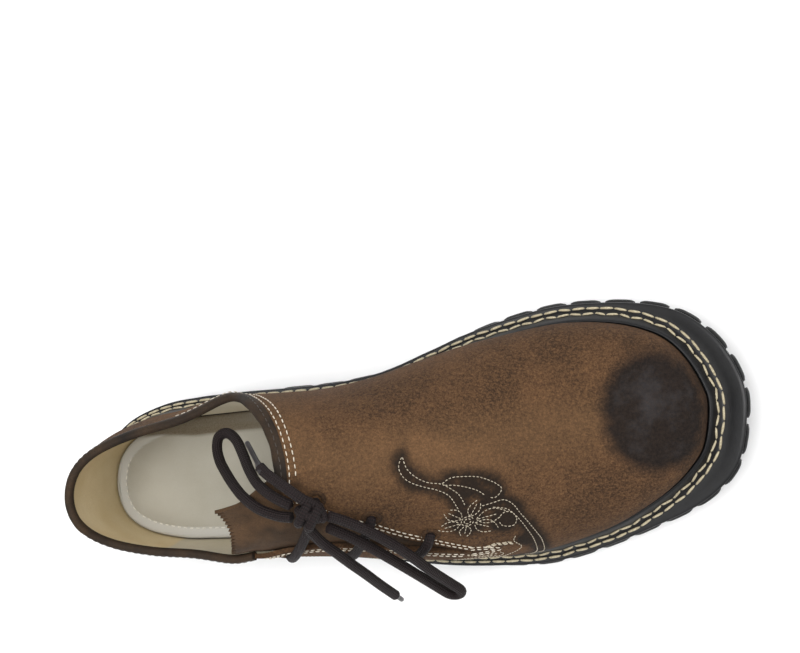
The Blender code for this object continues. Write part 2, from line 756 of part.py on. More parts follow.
def binding_route():
    """Middle of the rolled edge: round the collar, then up its front to the vamp."""
    beyond = BINDING / 2 + BINDING_GAP
    route = []
    for f in np.arange(COLLAR_RIB - 0.3, 0, -0.5):
        route.append(above_edge(len(LOOP) - f, beyond))
    for f in np.arange(0, COLLAR_RIB, 0.5):
        route.append(above_edge(f, beyond))
    start = quarter_top(COLLAR_RIB)
    for t in np.linspace(start + 0.03, 1.0, 6):
        route.append(behind_front(COLLAR_RIB, t, beyond))
    end = len(LOOP) - COLLAR_RIB
    for t in np.linspace(1.0, vamp_bottom(end), 3)[1:]:
        route.append(behind_front(end, t, beyond))
    return route


def above_edge(q, beyond):
    """Point in the wall's middle plane, this far above the collar edge."""
    t = quarter_top(q)
    p = surface(q, t, -WALL / 2)
    up = on_rib(q, t + 0.01) - on_rib(q, t - 0.01)
    return p + up / np.linalg.norm(up) * beyond


def behind_front(q, t, beyond):
    """Point in the wall's middle plane, this far behind the collar's front edge."""
    s = min(t, 0.985)
    up = on_rib(q, s + 0.01) - on_rib(q, s - 0.01)
    up /= np.linalg.norm(up)
    step = -0.05 if q < RIBS else 0.05
    back = on_rib(q + step, s) - on_rib(q, s)
    back -= up * back.dot(up)
    return surface(q, t, -WALL / 2) + back / np.linalg.norm(back) * beyond


def knot_place():
    return surface(len(LOOP) - KNOT_FOLD, KNOT_SHARE, KNOT_LIFT)


def build_bars(group, finish, shift):
    """The lace's bars over the throat, from hole to hole."""
    for k, eyelet in enumerate(EYELETS, 1):
        q0, q1 = len(LOOP) - eyelet.vamp, len(LOOP) - eyelet.quarter
        t0 = vamp_bottom(q0) + EYELET_INSET
        t1 = quarter_top(q1) - EYELET_INSET
        points = [surface(q0 + (q1 - q0) * u, t0 + (t1 - t0) * u, LACE_LIFT) + shift
                  for u in np.linspace(0, 1, 5)]
        tube("lace_bar_%d" % k, group, finish, points, LACE)


def build_free_laces(group, finish, shift):
    """Knot of the bow and what hangs from it."""
    middle = knot_place() + shift
    mesh = bpy.data.meshes.new("lace_knot")
    bm = bmesh.new()
    bmesh.ops.create_uvsphere(bm, u_segments=12, v_segments=8, radius=1.0)
    for vert in bm.verts:
        vert.co = [middle[k] + vert.co[k] * KNOT_SIZE[k] * MM for k in range(3)]
    bm.to_mesh(mesh)
    bm.free()
    mesh.shade_smooth()
    mesh.materials.append(finish)
    group.objects.link(bpy.data.objects.new("lace_knot", mesh))
    for name, route in (("lace_loop_back", LOOP_BACK), ("lace_end_back", END_BACK),
                        ("lace_loop_front", LOOP_FRONT), ("lace_end_front", END_FRONT)):
        points = [middle + p * MM for p in smooth_route(route, 2.1 * LACE / MM)]
        tube(name, group, finish, points, LACE)


def main():
    for old in list(bpy.data.objects):
        bpy.data.objects.remove(old)
    group = collection("side_laced_shoe")
    cutters = collection("cutters", hidden=True)
    leather = material("nubuck", (.155, .080, .042), .85)
    dark = material("dark_leather", (.06, .045, .035), .8)
    rubber = material("rubber", (.03, .032, .036), .6)
    band = material("midsole_rubber", (.045, .038, .033), .7)
    cover = material("insole_leather", (.44, .40, .32), .9)
    cord = material("lace", (.035, .022, .024), .8)
    ys = [edge(q)[1] for q in np.arange(0, len(LOOP), 0.25)]
    xs = [edge(q)[0] for q in np.arange(0, len(LOOP), 0.25)]
    shift = -np.array([(max(xs) + min(xs)) / 2, (max(ys) + min(ys)) / 2, 0.0])
    build_outsole(group, cutters, rubber, shift)
    recalc(build_midsole(group, band, shift))
    recalc(build_welt(group, rubber, shift))
    recalc(build_insole(group, cover, shift))
    build_upper(group, leather, shift)
    build_tongue(group, leather, shift)
    build_stay(group, leather, shift)
    edge_roll = [p + shift for p in smooth_route(binding_route(), 6 * MM)]
    tube("collar_binding", group, dark, edge_roll, BINDING, 1)
    build_bars(group, cord, shift)
    build_free_laces(group, cord, shift)


main()
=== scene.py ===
"""Looks of a right side-laced country shoe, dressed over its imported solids.

Metres; +X to the toe, +Y medial, -Y lateral, +Z up, the shoe standing on z = 0.
The leather follows the same family of ribs as the solids: q runs round the
feather line (0 heel, 19 toe tip, 19 to 38 back along the lateral side) and t
from the welt (0) up to the instep's ridge or the ankle line (1).
"""
import random
from collections import namedtuple
from math import cos, pi, radians, sin

import bmesh
import bpy
import numpy as np
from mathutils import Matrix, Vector


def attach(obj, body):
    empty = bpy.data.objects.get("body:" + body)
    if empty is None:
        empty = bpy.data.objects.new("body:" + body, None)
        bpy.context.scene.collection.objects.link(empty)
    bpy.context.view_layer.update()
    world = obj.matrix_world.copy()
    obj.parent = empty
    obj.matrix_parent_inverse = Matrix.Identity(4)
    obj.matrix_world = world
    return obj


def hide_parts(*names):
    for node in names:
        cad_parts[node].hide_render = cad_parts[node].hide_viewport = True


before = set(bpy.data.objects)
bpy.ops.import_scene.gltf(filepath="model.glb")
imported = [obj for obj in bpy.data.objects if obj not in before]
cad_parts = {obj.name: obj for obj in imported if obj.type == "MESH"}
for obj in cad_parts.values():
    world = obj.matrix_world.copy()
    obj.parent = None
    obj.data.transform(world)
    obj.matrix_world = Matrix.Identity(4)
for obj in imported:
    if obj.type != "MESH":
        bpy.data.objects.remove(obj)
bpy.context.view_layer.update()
random.seed(7)

MM = 0.001

# Sizes shared with the solids
LENGTH = 300 * MM
BALL_WIDTH = 110 * MM
INSTEP = 84 * MM
WALL = 2.0 * MM
TOE_SPRING = 22 * MM
SPRING_START = 200 * MM
LEDGE_FORE = 17 * MM
HEEL_LIFT = 8 * MM
LIFT_BACK = 35 * MM
LIFT_FRONT = 110 * MM
RAND = 6.5 * MM
WELT_THICK = 2.7 * MM
MIDSOLE_THICK = 4.8 * MM
CLEARANCE = 0.3 * MM
WELT_HEEL = 5.0 * MM
WELT_WAIST = 6.5 * MM
WELT_BALL = 8.6 * MM
WELT_TOE = 16.3 * MM
INSOLE_THICK = 4.0 * MM
INSOLE_GAP = 0.6 * MM
TONGUE_LAP = 0.10
TONGUE_GAP = 1.1 * MM
TONGUE_THICK = 1.6 * MM
TONGUE_BACK = 5.0
TONGUE_FRONT = 11.5
BINDING = 2.8 * MM
BINDING_GAP = 0.7 * MM
LACE = 4.5 * MM
KNOT_SIZE = (8.0, 6.6, 5.4)
KNOT_FOLD, KNOT_SHARE, KNOT_LIFT = 7.1, 0.85, 10.8 * MM

# Ribs: x, rim_x in shares of LENGTH, y, rim_y of BALL_WIDTH, rim_h of INSTEP
Rib = namedtuple("Rib", "x y rim_x rim_y rim_h lean rise low high")
HEEL_RIB = Rib(.017, 0, .067, .009, .95, 3, 60, .35, .35)
MEDIAL = [
    Rib(.030, .139, .073, .075, .95, 4, 65, .35, .35),
    Rib(.067, .232, .097, .135, .95, 6, 72, .35, .35),
    Rib(.123, .279, .147, .190, .96, 9, 80, .35, .35),
    Rib(.173, .288, .227, .210, 1.0, 11, 76, .36, .36),
    Rib(.217, .288, .317, .165, 1.06, 13, 45, .43, .38),
    Rib(.253, .287, .387, .045, 1.0, 14, 0, .50, .42),
    Rib(.317, .281, .420, .050, .976, 15, 0, .49, .38),
    Rib(.390, .281, .465, .055, .935, 17, 0, .48, .34),
    Rib(.467, .303, .520, .062, .887, 20, 0, .48, .33),
    Rib(.540, .357, .577, .068, .821, 20, 0, .48, .33),
    Rib(.610, .411, .633, .075, .732, 18, 0, .47, .33),
    Rib(.677, .446, .690, .080, .613, 15, 0, .47, .34),
    Rib(.740, .466, .743, .085, .512, 13, 0, .46, .36),
    Rib(.798, .458, .793, .090, .444, 11, 0, .46, .38),
    Rib(.850, .426, .827, .093, .411, 9, 4, .47, .40),
    Rib(.893, .369, .845, .094, .393, 8, 9, .48, .41),
    Rib(.922, .281, .853, .095, .383, 7, 13, .49, .42),
    Rib(.941, .171, .854, .095, .380, 6, 16, .50, .42),
]
TOE_RIB = Rib(.945, .091, .855, .095, .379, 6, 17, .50, .42)
LATERAL = [
    Rib(.030, -.127, .073, -.055, .95, 4, 65, .35, .35),
    Rib(.067, -.209, .097, -.105, .95, 6, 72, .35, .35),
    Rib(.123, -.255, .147, -.155, .96, 9, 80, .35, .35),
    Rib(.173, -.270, .227, -.165, 1.0, 11, 76, .36, .35),
    Rib(.217, -.279, .317, -.100, 1.06, 12, 45, .40, .33),
    Rib(.253, -.288, .387, .045, 1.0, 12, 0, .44, .32),
    Rib(.317, -.304, .420, .050, .976, 12, 0, .44, .32),
    Rib(.390, -.330, .465, .055, .935, 12, 0, .44, .32),
    Rib(.467, -.364, .520, .062, .887, 12, 0, .44, .32),
    Rib(.540, -.391, .577, .068, .821, 12, 0, .44, .33),
    Rib(.610, -.402, .633, .075, .732, 12, 0, .44, .34),
    Rib(.677, -.402, .690, .080, .613, 12, 0, .44, .35),
    Rib(.737, -.373, .743, .085, .512, 11, 0, .44, .36),
    Rib(.793, -.328, .793, .090, .444, 10, 0, .45, .38),
    Rib(.840, -.268, .827, .093, .411, 9, 4, .46, .40),
    Rib(.879, -.205, .845, .094, .393, 8, 9, .48, .41),
    Rib(.910, -.134, .853, .095, .383, 7, 13, .49, .42),
    Rib(.933, -.050, .854, .095, .380, 6, 16, .50, .42),
]
LOOP = np.array([HEEL_RIB] + MEDIAL + [TOE_RIB] + LATERAL[::-1])
AROUND = len(LOOP)
TOE = len(MEDIAL) + 1
COLLAR_RIB = 6
THROAT_RIB = 10.75
EVEN_RIB = 13

# Edges of the leather: x in shares of LENGTH, height in shares of INSTEP
MEDIAL_TOP = [(.036, .655), (.077, .660), (.127, .630), (.175, .613),
              (.223, .618), (.270, .635), (.300, .665), (.330, .720)]
LATERAL_TOP = [(.036, .655), (.050, .600), (.067, .562), (.100, .526),
               (.140, .502), (.180, .496), (.227, .502), (.290, .545),
               (.337, .615), (.383, .635), (.417, .622), (.457, .588),
               (.500, .538), (.540, .475), (.570, .425), (.597, .385)]
VAMP_EDGE = [(.360, .985), (.381, .985), (.400, .945), (.425, .860),
             (.450, .790), (.482, .720), (.510, .640), (.540, .570),
             (.565, .500), (.585, .440), (.597, .400)]

Eyelet = namedtuple("Eyelet", "vamp quarter")
EYELETS = [Eyelet(7.35, 6.9), Eyelet(8.8, 8.3), Eyelet(10.0, 9.5)]
EYELET_INSET = 0.085            # share of the rib between hole and throat edge

# Free laces: points in millimetres from the middle of the knot
LOOP_BACK = [(-7.2, 4.5, -.4), (-11.4, 6.8, -.4), (-16.2, 9.8, -1.8), (-22.2, 14.2, -6.0),
             (-27.5, 19.8, -13.0), (-31.8, 26.4, -19.5), (-36.0, 32.0, -25.0),
             (-41.0, 34.9, -29.5), (-45.6, 33.8, -31.5), (-47.2, 29.4, -31.5),
             (-45.4, 23.8, -28.0), (-41.2, 18.6, -22.5), (-36.0, 13.6, -16.0),
             (-30.0, 8.8, -9.6), (-22.6, 3.8, -5.4), (-14.6, .4, -4.2), (-8.4, -.8, -3.6)]
END_BACK = [(5.4, -3.0, -1.6), (4.2, 2.0, -.6), (-1.2, 7.0, 3.2), (-5.6, 11.0, 4.0),
            (-10.4, 14.8, 3.2), (-15.2, 18.4, 1.6), (-18.0, 21.4, .6)]
LOOP_FRONT = [(7.4, -1.6, -3.2), (13.0, -4.8, -7.2), (19.6, -9.4, -12.0), (26.0, -15.6, -19.0),
              (32.0, -23.0, -28.0), (37.2, -31.4, -39.0), (41.8, -38.6, -50.0),
              (45.3, -43.4, -56.7), (45.2, -45.0, -58.8), (43.4, -46.0, -60.2),
              (40.7, -45.9, -60.0), (38.9, -44.6, -58.2), (35.0, -39.6, -51.6),
              (29.6, -32.2, -41.0), (24.0, -25.0, -31.0), (18.0, -18.2, -22.6),
              (11.8, -12.2, -15.4), (5.0, -6.8, -8.6)]
END_FRONT = [(-2.2, -5.8, -4.0), (.8, -12.6, -10.4), (4.4, -18.4, -17.4), (7.4, -24.4, -26.0),
             (10.4, -30.8, -36.4), (13.0, -37.6, -48.0), (15.4, -44.0, -60.0)]

# Places on the lateral side of the vamp: millimetres from the heel lip along the
# shoe, and millimetres up the leather from the welt
FLOWER = (183, 58)
FLOWER_PETALS = [(175, 68), (170, 58), (179, 48), (194, 47), (190, 67), (199, 55)]
LOW_FLOWER = (142, 19)
LOW_PETALS = [(146, 7), (132, 9), (155, 12), (155, 27), (142, 31), (130, 24)]
CURL = [[(164, 99), (165, 93), (168, 88), (172, 84), (177, 81), (181, 76), (183, 72), (184, 66)],
        [(164, 99), (162, 95), (163, 90), (166, 86), (171, 82), (175, 79), (179, 74), (181, 66)]]
LEAF = [[(177, 81), (181, 82), (186, 80), (191, 77), (195, 73), (198, 69), (199, 66), (196, 64),
         (193, 66)],
        [(178, 80), (182, 78), (186, 75), (190, 71), (193, 66)]]
BORDER = [[(190, 63), (195, 62), (199, 61), (202, 57), (204, 51), (206, 45), (208, 37), (209, 30),
           (208, 20), (205, 12), (199, 6), (190, 3)],
          [(194, 60), (197, 58), (200, 55), (203, 48), (205, 40), (206, 32), (205, 21), (201, 13),
           (195, 8)]]
RING = [(195, 51), (196, 48), (200, 46), (202, 49), (201, 53), (198, 55), (195, 53)]
LOW_CURL = [[(134, 17), (129, 15), (124, 14), (118, 15), (110, 19), (104, 24), (97, 23), (93, 21)],
            [(134, 19), (129, 18), (118, 19), (110, 24), (103, 27), (96, 24), (93, 21)]]
LOW_LEAF = [[(113, 17), (114, 12), (117, 6), (121, 2)], [(115, 16), (119, 10), (126, 5), (129, 2)]]
LOW_SCROLL = [[(137, 9), (138, 5), (141, 2), (147, 1)],
              [(143, 12), (144, 5), (149, 2), (153, 5), (151, 9), (155, 11), (158, 8), (156, 4)]]
ANIMAL = [[(178, 3), (177, 10), (178, 16), (181, 20), (187, 21), (191, 25), (190, 29)],
          [(184, 5), (185, 12), (188, 17), (192, 22), (197, 26), (200, 30), (198, 36), (200, 40)],
          [(167, 17), (173, 18), (181, 21), (187, 25)], [(167, 18), (172, 22), (180, 24), (187, 27)],
          [(176, 30), (182, 26), (188, 24)], [(176, 31), (183, 29), (189, 27)]]
GROUND = [(186, 36), (190, 37), (195, 35.5), (199, 34)]


def colour(red, green, blue):
    """Linear colour from the usual 0 to 255 values."""
    parts = [c / 255 for c in (red, green, blue)]
    return tuple(c / 12.92 if c <= .04045 else ((c + .055) / 1.055) ** 2.4 for c in parts)


def smooth(a, b, x):
    u = np.clip((np.asarray(x, float) - a) / (b - a), 0, 1)
    return u * u * (3 - 2 * u)


def unit(v):
    return v / np.linalg.norm(v, axis=-1, keepdims=True)


# The shared surface, for arrays of q and t

def ledge(x):
    lift = HEEL_LIFT * (1 - smooth(LIFT_BACK, LIFT_FRONT, x))
    rise = TOE_SPRING * (np.maximum(x - SPRING_START, 0) / (LENGTH - SPRING_START)) ** 2
    return LEDGE_FORE + lift + rise


def feather(x):
    return ledge(x) + RAND


def fold(q):
    q = np.asarray(q, float) % AROUND
    return np.where(q <= TOE, q, AROUND - q)


def spline(a, b, c, d, u):
    """Smooth curve between b and c, at a share u of the way."""
    return 0.5 * (2 * b + (c - a) * u + (2 * a - 5 * b + 4 * c - d) * u * u
                  + (3 * b - a - 3 * c + d) * u ** 3)


def loop_row(q):
    """Row of the ribs' table at each q."""
    q = np.asarray(q, float)
    i = np.floor(q).astype(int)
    a, b, c, d = (LOOP[(i + k) % AROUND] for k in (-1, 0, 1, 2))
    return spline(a, b, c, d, (q - i)[..., None])


def foot(q):
    return loop_row(q)[..., :2] * (LENGTH, BALL_WIDTH)


def outward(q):
    """Direction square to the feather line, away from the shoe."""
    t = foot(np.asarray(q) + .05) - foot(np.asarray(q) - .05)
    return unit(np.stack([-t[..., 1], t[..., 0]], -1))


def welt_width(q):
    f = fold(q)
    waist = WELT_HEEL + (WELT_WAIST - WELT_HEEL) * smooth(0, 5, f)
    ball = waist + (WELT_BALL - WELT_WAIST) * smooth(8, 13, f)
    return ball + (WELT_TOE - WELT_BALL) * smooth(13.5, 18, f)


def on_rib(q, t):
    """Point of the leather at a place round the feather line and a share up its rib."""
    q, t = np.broadcast_arrays(np.asarray(q, float), np.asarray(t, float))
    row = loop_row(q)
    shared = loop_row(fold(q))
    front = ((fold(q) >= COLLAR_RIB) & (q % AROUND > TOE))[..., None]
    rim = np.where(front, shared[..., 2:5], row[..., 2:5])
    xy = foot(q)
    base = np.concatenate([xy, feather(xy[..., :1])], -1)
    top_x = rim[..., :1] * LENGTH
    top = np.concatenate([top_x, rim[..., 1:2] * BALL_WIDTH, feather(top_x) + rim[..., 2:] * INSTEP], -1)
    out = np.concatenate([outward(q), np.zeros(q.shape + (1,))], -1)
    up = np.array([0, 0, 1.0])
    chord = np.linalg.norm(top - base, axis=-1, keepdims=True)
    lean, rise = np.radians(row[..., 5:6]), np.radians(row[..., 6:7])
    low = base + row[..., 7:8] * chord * (out * np.sin(lean) + up * np.cos(lean))
    high = top - row[..., 8:9] * chord * (-out * np.cos(rise) + up * np.sin(rise))
    s = t[..., None]
    return (1 - s) ** 3 * base + 3 * (1 - s) ** 2 * s * low + 3 * (1 - s) * s * s * high + s ** 3 * top


def normal(q, t):
    s = np.clip(t, .01, .985)
    along = on_rib(np.asarray(q) + .05, s) - on_rib(np.asarray(q) - .05, s)
    up = on_rib(q, s + .01) - on_rib(q, s - .01)
    return unit(np.cross(up, along))


edge_qs = np.arange(0, AROUND, .25)
edge_xy = foot(edge_qs) + outward(edge_qs) * welt_width(edge_qs)[:, None]
SHIFT = np.append(-(edge_xy.max(0) + edge_xy.min(0)) / 2, 0.0)


def surface(q, t, offset=0.0):
    """Point in the shoe's frame, so far out from the leather's face."""
    lift = np.asarray(offset, float)
    return on_rib(q, t) + normal(q, t) * lift[..., None] + SHIFT


def crossing(q, table, drop):
    """Rib share at which each rib meets an edge drawn in the side view."""
    ts = np.linspace(.05, 1, 96)
    p = on_rib(q[:, None], ts[None])
    xs, hs = np.array(table).T
    want = np.interp(p[..., 0], xs * LENGTH, hs * INSTEP) - drop[:, None]
    over = p[..., 2] - feather(p[..., 0]) - want
    above = over >= 0
    first = np.where(above.any(1), above.argmax(1), len(ts) - 1)
    k = np.arange(len(q))
    before = np.where(first > 0, over[k, first - 1], -1)
    share = ts[first] - .01 * over[k, first] / (over[k, first] - before)
    return np.where(above.any(1), share, 1.0)


FINE = np.arange(0, AROUND + .01, 1 / 32)
CORNER_FOLDS = .5               # rounding of the collar's medial corner
CORNER_RISE = .05
VAMP_FOLDS = .35
VAMP_RISE = .035


def edge_tables():
    """Rib share of the quarter's top and of the vamp's edge at each of FINE."""
    f = fold(FINE)
    medial = FINE % AROUND <= TOE
    room = BINDING + BINDING_GAP
    drop = room * (1 - smooth(COLLAR_RIB, COLLAR_RIB + .5, f))
    at_m = np.minimum(f, COLLAR_RIB)
    at_l = AROUND - np.minimum(f, THROAT_RIB)
    top_m = crossing(at_m, MEDIAL_TOP, np.full(len(f), room))
    round_m = 1 - np.clip((COLLAR_RIB - f) / CORNER_FOLDS, 0, 1)
    top_m = top_m + CORNER_RISE * (1 - np.sqrt(np.clip(1 - round_m ** 2, 0, 1)))
    top_l = crossing(at_l, LATERAL_TOP, drop)
    limit = np.where(medial, COLLAR_RIB, THROAT_RIB)
    top = np.where(medial, top_m, top_l)
    spread = smooth(0, 1, (f - limit) / (EVEN_RIB - limit))
    top = top + (.5 - top) * spread
    at_v = AROUND - np.clip(f, COLLAR_RIB, THROAT_RIB)
    vamp = crossing(at_v, VAMP_EDGE, np.zeros(len(f)))
    round_v = 1 - np.clip((f - COLLAR_RIB) / VAMP_FOLDS, 0, 1)
    vamp = vamp + VAMP_RISE * (1 - np.sqrt(np.clip(1 - round_v ** 2, 0, 1)))
    ahead = .5 + .5 / 3
    vamp = vamp + (ahead - vamp) * smooth(THROAT_RIB, EVEN_RIB, f)
    return top, np.where(medial, top + (1 - top) / 3, vamp)


TOP_TABLE, VAMP_TABLE = edge_tables()


def quarter_top(q):
    return np.interp(np.asarray(q, float) % AROUND, FINE, TOP_TABLE)


def vamp_bottom(q):
    return np.interp(np.asarray(q, float) % AROUND, FINE, VAMP_TABLE)


def eyelet_places(eyelet):
    """Rib and share of an eyelet's hole in the vamp, then in the quarter."""
    vamp, quarter = AROUND - eyelet.vamp, AROUND - eyelet.quarter
    return ((vamp, float(vamp_bottom(vamp)) + EYELET_INSET),
            (quarter, float(quarter_top(quarter)) - EYELET_INSET))


# Materials

def node(tree, kind, inputs=None, **settings):
    made = tree.nodes.new(kind)
    for key, value in settings.items():
        setattr(made, key, value)
    for key, value in (inputs or {}).items():
        if isinstance(value, bpy.types.NodeSocket):
            tree.links.new(value, made.inputs[key])
        else:
            made.inputs[key].default_value = value
    return made


def new_material(name, roughness=.8, **values):
    made = bpy.data.materials.new(name)
    made.use_nodes = True
    shader = made.node_tree.nodes["Principled BSDF"]
    shader.inputs["Roughness"].default_value = roughness
    for key, value in values.items():
        shader.inputs[key.replace("_", " ")].default_value = value
    return made, made.node_tree, shader


def spread(tree, value, low, high, out_low=0.0, out_high=1.0):
    made = node(tree, "ShaderNodeMapRange", {
        "Value": value, "From Min": low, "From Max": high, "To Min": out_low, "To Max": out_high})
    return made.outputs[0]


def cloud(tree, scale, detail, low, high, rough=.55, distortion=0.0):
    """Noise of so many grains a metre, what lies from low to high spread over 0 to 1."""
    place = node(tree, "ShaderNodeTexCoord")
    made = node(tree, "ShaderNodeTexNoise", {
        "Vector": place.outputs["Object"], "Scale": scale, "Detail": detail, "Roughness": rough,
        "Distortion": distortion})
    return spread(tree, made.outputs["Fac"], low, high)


def maths(tree, operation, a, b=0.0):
    return node(tree, "ShaderNodeMath", {0: a, 1: b}, operation=operation).outputs[0]


def times(tree, a, b):
    return maths(tree, 'MULTIPLY', a, b)


def plus(tree, a, b):
    return maths(tree, 'ADD', a, b)


def mixed(tree, factor, a, b, share=None):
    """Blend of two colours, with the factor first taken down to a share of itself."""
    made = node(tree, "ShaderNodeMix", data_type='RGBA', blend_type='MIX')
    if share is not None:
        factor = times(tree, factor, share)
    tree.links.new(factor, made.inputs[0])
    for index, value in ((6, a), (7, b)):
        if isinstance(value, bpy.types.NodeSocket):
            tree.links.new(value, made.inputs[index])
        else:
            made.inputs[index].default_value = (*value, 1)
    return made.outputs[2]


def marks(tree):
    """The painted channels of a piece: red, green, blue."""
    paint = node(tree, "ShaderNodeAttribute", attribute_name="marks")
    parts = node(tree, "ShaderNodeSeparateColor", {"Color": paint.outputs["Color"]})
    return parts.outputs[0], parts.outputs[1], parts.outputs[2]


def finished(tree, shader, tone, height, strength, distance):
    """Give a material its colour and the fine relief of its surface."""
    tree.links.new(tone, shader.inputs["Base Color"])
    made = node(tree, "ShaderNodeBump", {
        "Height": height, "Strength": strength, "Distance": distance})
    tree.links.new(made.outputs[0], shader.inputs["Normal"])


def nubuck():
    made, tree, shader = new_material("nubuck", .9, Specular_IOR_Level=.14)
    burn_and_sheen, dark, light = marks(tree)
    wide = cloud(tree, 30, 5, .38, .62, .65, .8)
    small = cloud(tree, 110, 5, .33, .68, .66)
    grain = cloud(tree, 800, 4, .36, .66, .78)
    nap = cloud(tree, 1500, 3, .34, .68, .7)
    base = mixed(tree, wide, colour(48, 34, 24), colour(90, 64, 43))
    base = mixed(tree, small, base, colour(42, 31, 24), .46)
    base = mixed(tree, grain, base, colour(120, 88, 59), .66)
    base = mixed(tree, nap, base, colour(22, 16, 11), .62)
    base = mixed(tree, light, base, colour(126, 96, 66))
    uneven = spread(tree, small, 0, 1, -.5, .5)
    ragged = times(tree, uneven, .30)
    # Green channel: the ornament's real stain, with painted shade beside the welt, along the throat and
    # at the SHADES places.
    stain_and_shade = spread(tree, plus(tree, dark, ragged), .15, .85)
    base = mixed(tree, stain_and_shade, base, colour(24, 20, 17), .90)
    # Toe burn: its dark is the real burnished finish, its lighter blue-grey middle a painted sheen.
    burn = spread(tree, plus(tree, burn_and_sheen, times(tree, uneven, .22)), .08, .72)
    toe_sheen = spread(tree, plus(tree, burn_and_sheen, ragged), .80, 1.15)
    burnish_and_sheen = mixed(tree, toe_sheen, colour(17, 14, 14), colour(46, 45, 47))
    burnish_and_sheen = mixed(tree, grain, burnish_and_sheen, colour(52, 44, 38), .30)
    base = mixed(tree, burn, base, burnish_and_sheen, .95)
    height = plus(tree, plus(tree, times(tree, grain, .6), nap), times(tree, small, 2.0))
    finished(tree, shader, base, height, .5, .00028)
    return made


def plain_leather(name, base, light, dark, roughness, scale=1500, strength=.3):
    made, tree, shader = new_material(name, roughness, Specular_IOR_Level=.25)
    fine = cloud(tree, scale, 3, .25, .75)
    wide = cloud(tree, 70, 4, .32, .68)
    first = mixed(tree, fine, base, light)
    both = mixed(tree, wide, dark, first)
    both = mixed(tree, marks(tree)[0], both, dark)
    finished(tree, shader, both, plus(tree, fine, wide), strength, .00025)
    return made


def lining_leather():
    made, tree, shader = new_material("lining", .72)
    heel, deep, _ = marks(tree)
    wide = cloud(tree, 60, 4, .3, .7)
    fine = cloud(tree, 1300, 3, .3, .7)
    front = mixed(tree, wide, colour(204, 198, 180), colour(218, 212, 196))
    back = mixed(tree, wide, colour(222, 200, 154), colour(234, 216, 178))
    base = mixed(tree, heel, front, back)
    # Green channel: painted shade low in the shoe and towards the toe.
    base = mixed(tree, deep, base, colour(150, 134, 92), .6)
    base = mixed(tree, fine, base, colour(170, 150, 112), .15)
    finished(tree, shader, base, fine, .2, .0002)
    return made


def insole_cover():
    made, tree, shader = new_material("insole_cover", .8)
    margin, wall_shade, _ = marks(tree)
    wide = cloud(tree, 45, 4, .3, .7)
    fine = cloud(tree, 1800, 2, .25, .8)
    base = mixed(tree, wide, colour(144, 140, 127), colour(154, 150, 138))
    base = mixed(tree, margin, base, colour(176, 174, 167))
    # Painted shade in the lining's olive along the medial wall.
    base = mixed(tree, wall_shade, base, colour(76, 62, 36), .95)
    base = mixed(tree, fine, base, colour(166, 161, 148), .18)
    finished(tree, shader, base, fine, .25, .00015)
    return made


def rubber(name, base, light, roughness, dust, scale=420):
    made, tree, shader = new_material(name, roughness, Specular_IOR_Level=.32)
    fine = cloud(tree, scale, 4, .3, .7)
    wide = cloud(tree, 38, 4, .42, .72, .65)
    tone = mixed(tree, fine, base, light)
    tone = mixed(tree, wide, tone, colour(56, 55, 53), dust)
    rough = spread(tree, wide, 0, 1, roughness - .08, roughness + .12)
    tree.links.new(rough, shader.inputs["Roughness"])
    finished(tree, shader, tone, cloud(tree, 2400, 3, .2, .8), .22, .0002)
    return made


def thread_material(name, base, dark):
    made, tree, shader = new_material(name, .55)
    fine = cloud(tree, 1500, 2, .3, .7)
    wide = cloud(tree, 120, 3, .4, .75)
    tone = mixed(tree, fine, base, dark)
    tone = mixed(tree, wide, tone, dark, .4)
    finished(tree, shader, tone, fine, .4, .0001)
    return made


STRANDS = 7                     # of the lace's braid, seen round it
BRAID_PITCH = 2.1               # millimetres along it from one crossing to the next but one


def braid():
    """Round woven cord: two sets of crossing strands worked out along its length."""
    made, tree, shader = new_material("lace", .7, Specular_IOR_Level=.22)
    place = node(tree, "ShaderNodeUVMap", uv_map="length")
    parts = node(tree, "ShaderNodeSeparateXYZ", {"Vector": place.outputs[0]})
    around = times(tree, parts.outputs[0], 2 * pi * STRANDS)
    along = times(tree, parts.outputs[1], 2 * pi / BRAID_PITCH)
    one = maths(tree, 'SINE', plus(tree, around, along))
    two = maths(tree, 'SINE', maths(tree, 'SUBTRACT', around, along))
    weave = spread(tree, times(tree, one, two), -1, 1)
    ribs = spread(tree, maths(tree, 'SINE', times(tree, around, 2.0)), -1, 1)
    # Painted shade in the weave's hollows, lighter on its crowns.
    tone = mixed(tree, weave, colour(6, 4, 4), colour(33, 22, 22))
    tone = mixed(tree, cloud(tree, 90, 3, .4, .7), tone, colour(24, 16, 17), .35)
    finished(tree, shader, tone, plus(tree, weave, times(tree, ribs, .35)), .8, .0005)
    return made


def smooth_plastic():
    made, tree, shader = new_material("aglet", .32)
    tone = mixed(tree, cloud(tree, 300, 2, .3, .7), colour(26, 23, 24), colour(38, 34, 35))
    tree.links.new(tone, shader.inputs["Base Color"])
    return made


# Mesh helpers

def mesh_piece(name, verts, faces, materials, sharp=40):
    mesh = bpy.data.meshes.new(name)
    mesh.from_pydata([tuple(v) for v in verts], [], [tuple(int(i) for i in f) for f in faces])
    for finish in materials:
        mesh.materials.append(finish)
    mesh.shade_smooth()
    mesh.set_sharp_from_angle(angle=radians(sharp))
    made = bpy.data.objects.new(name, mesh)
    bpy.context.scene.collection.objects.link(made)
    return made


def paint(piece, red=0.0, green=0.0, blue=0.0):
    """Store a piece's marks, one value a vertex in each channel."""
    mesh = piece.data
    layer = mesh.attributes.new("marks", 'FLOAT_COLOR', 'POINT')
    values = np.ones((len(mesh.vertices), 4))
    for k, channel in enumerate((red, green, blue)):
        values[:, k] = channel
    layer.data.foreach_set("color", values.ravel())


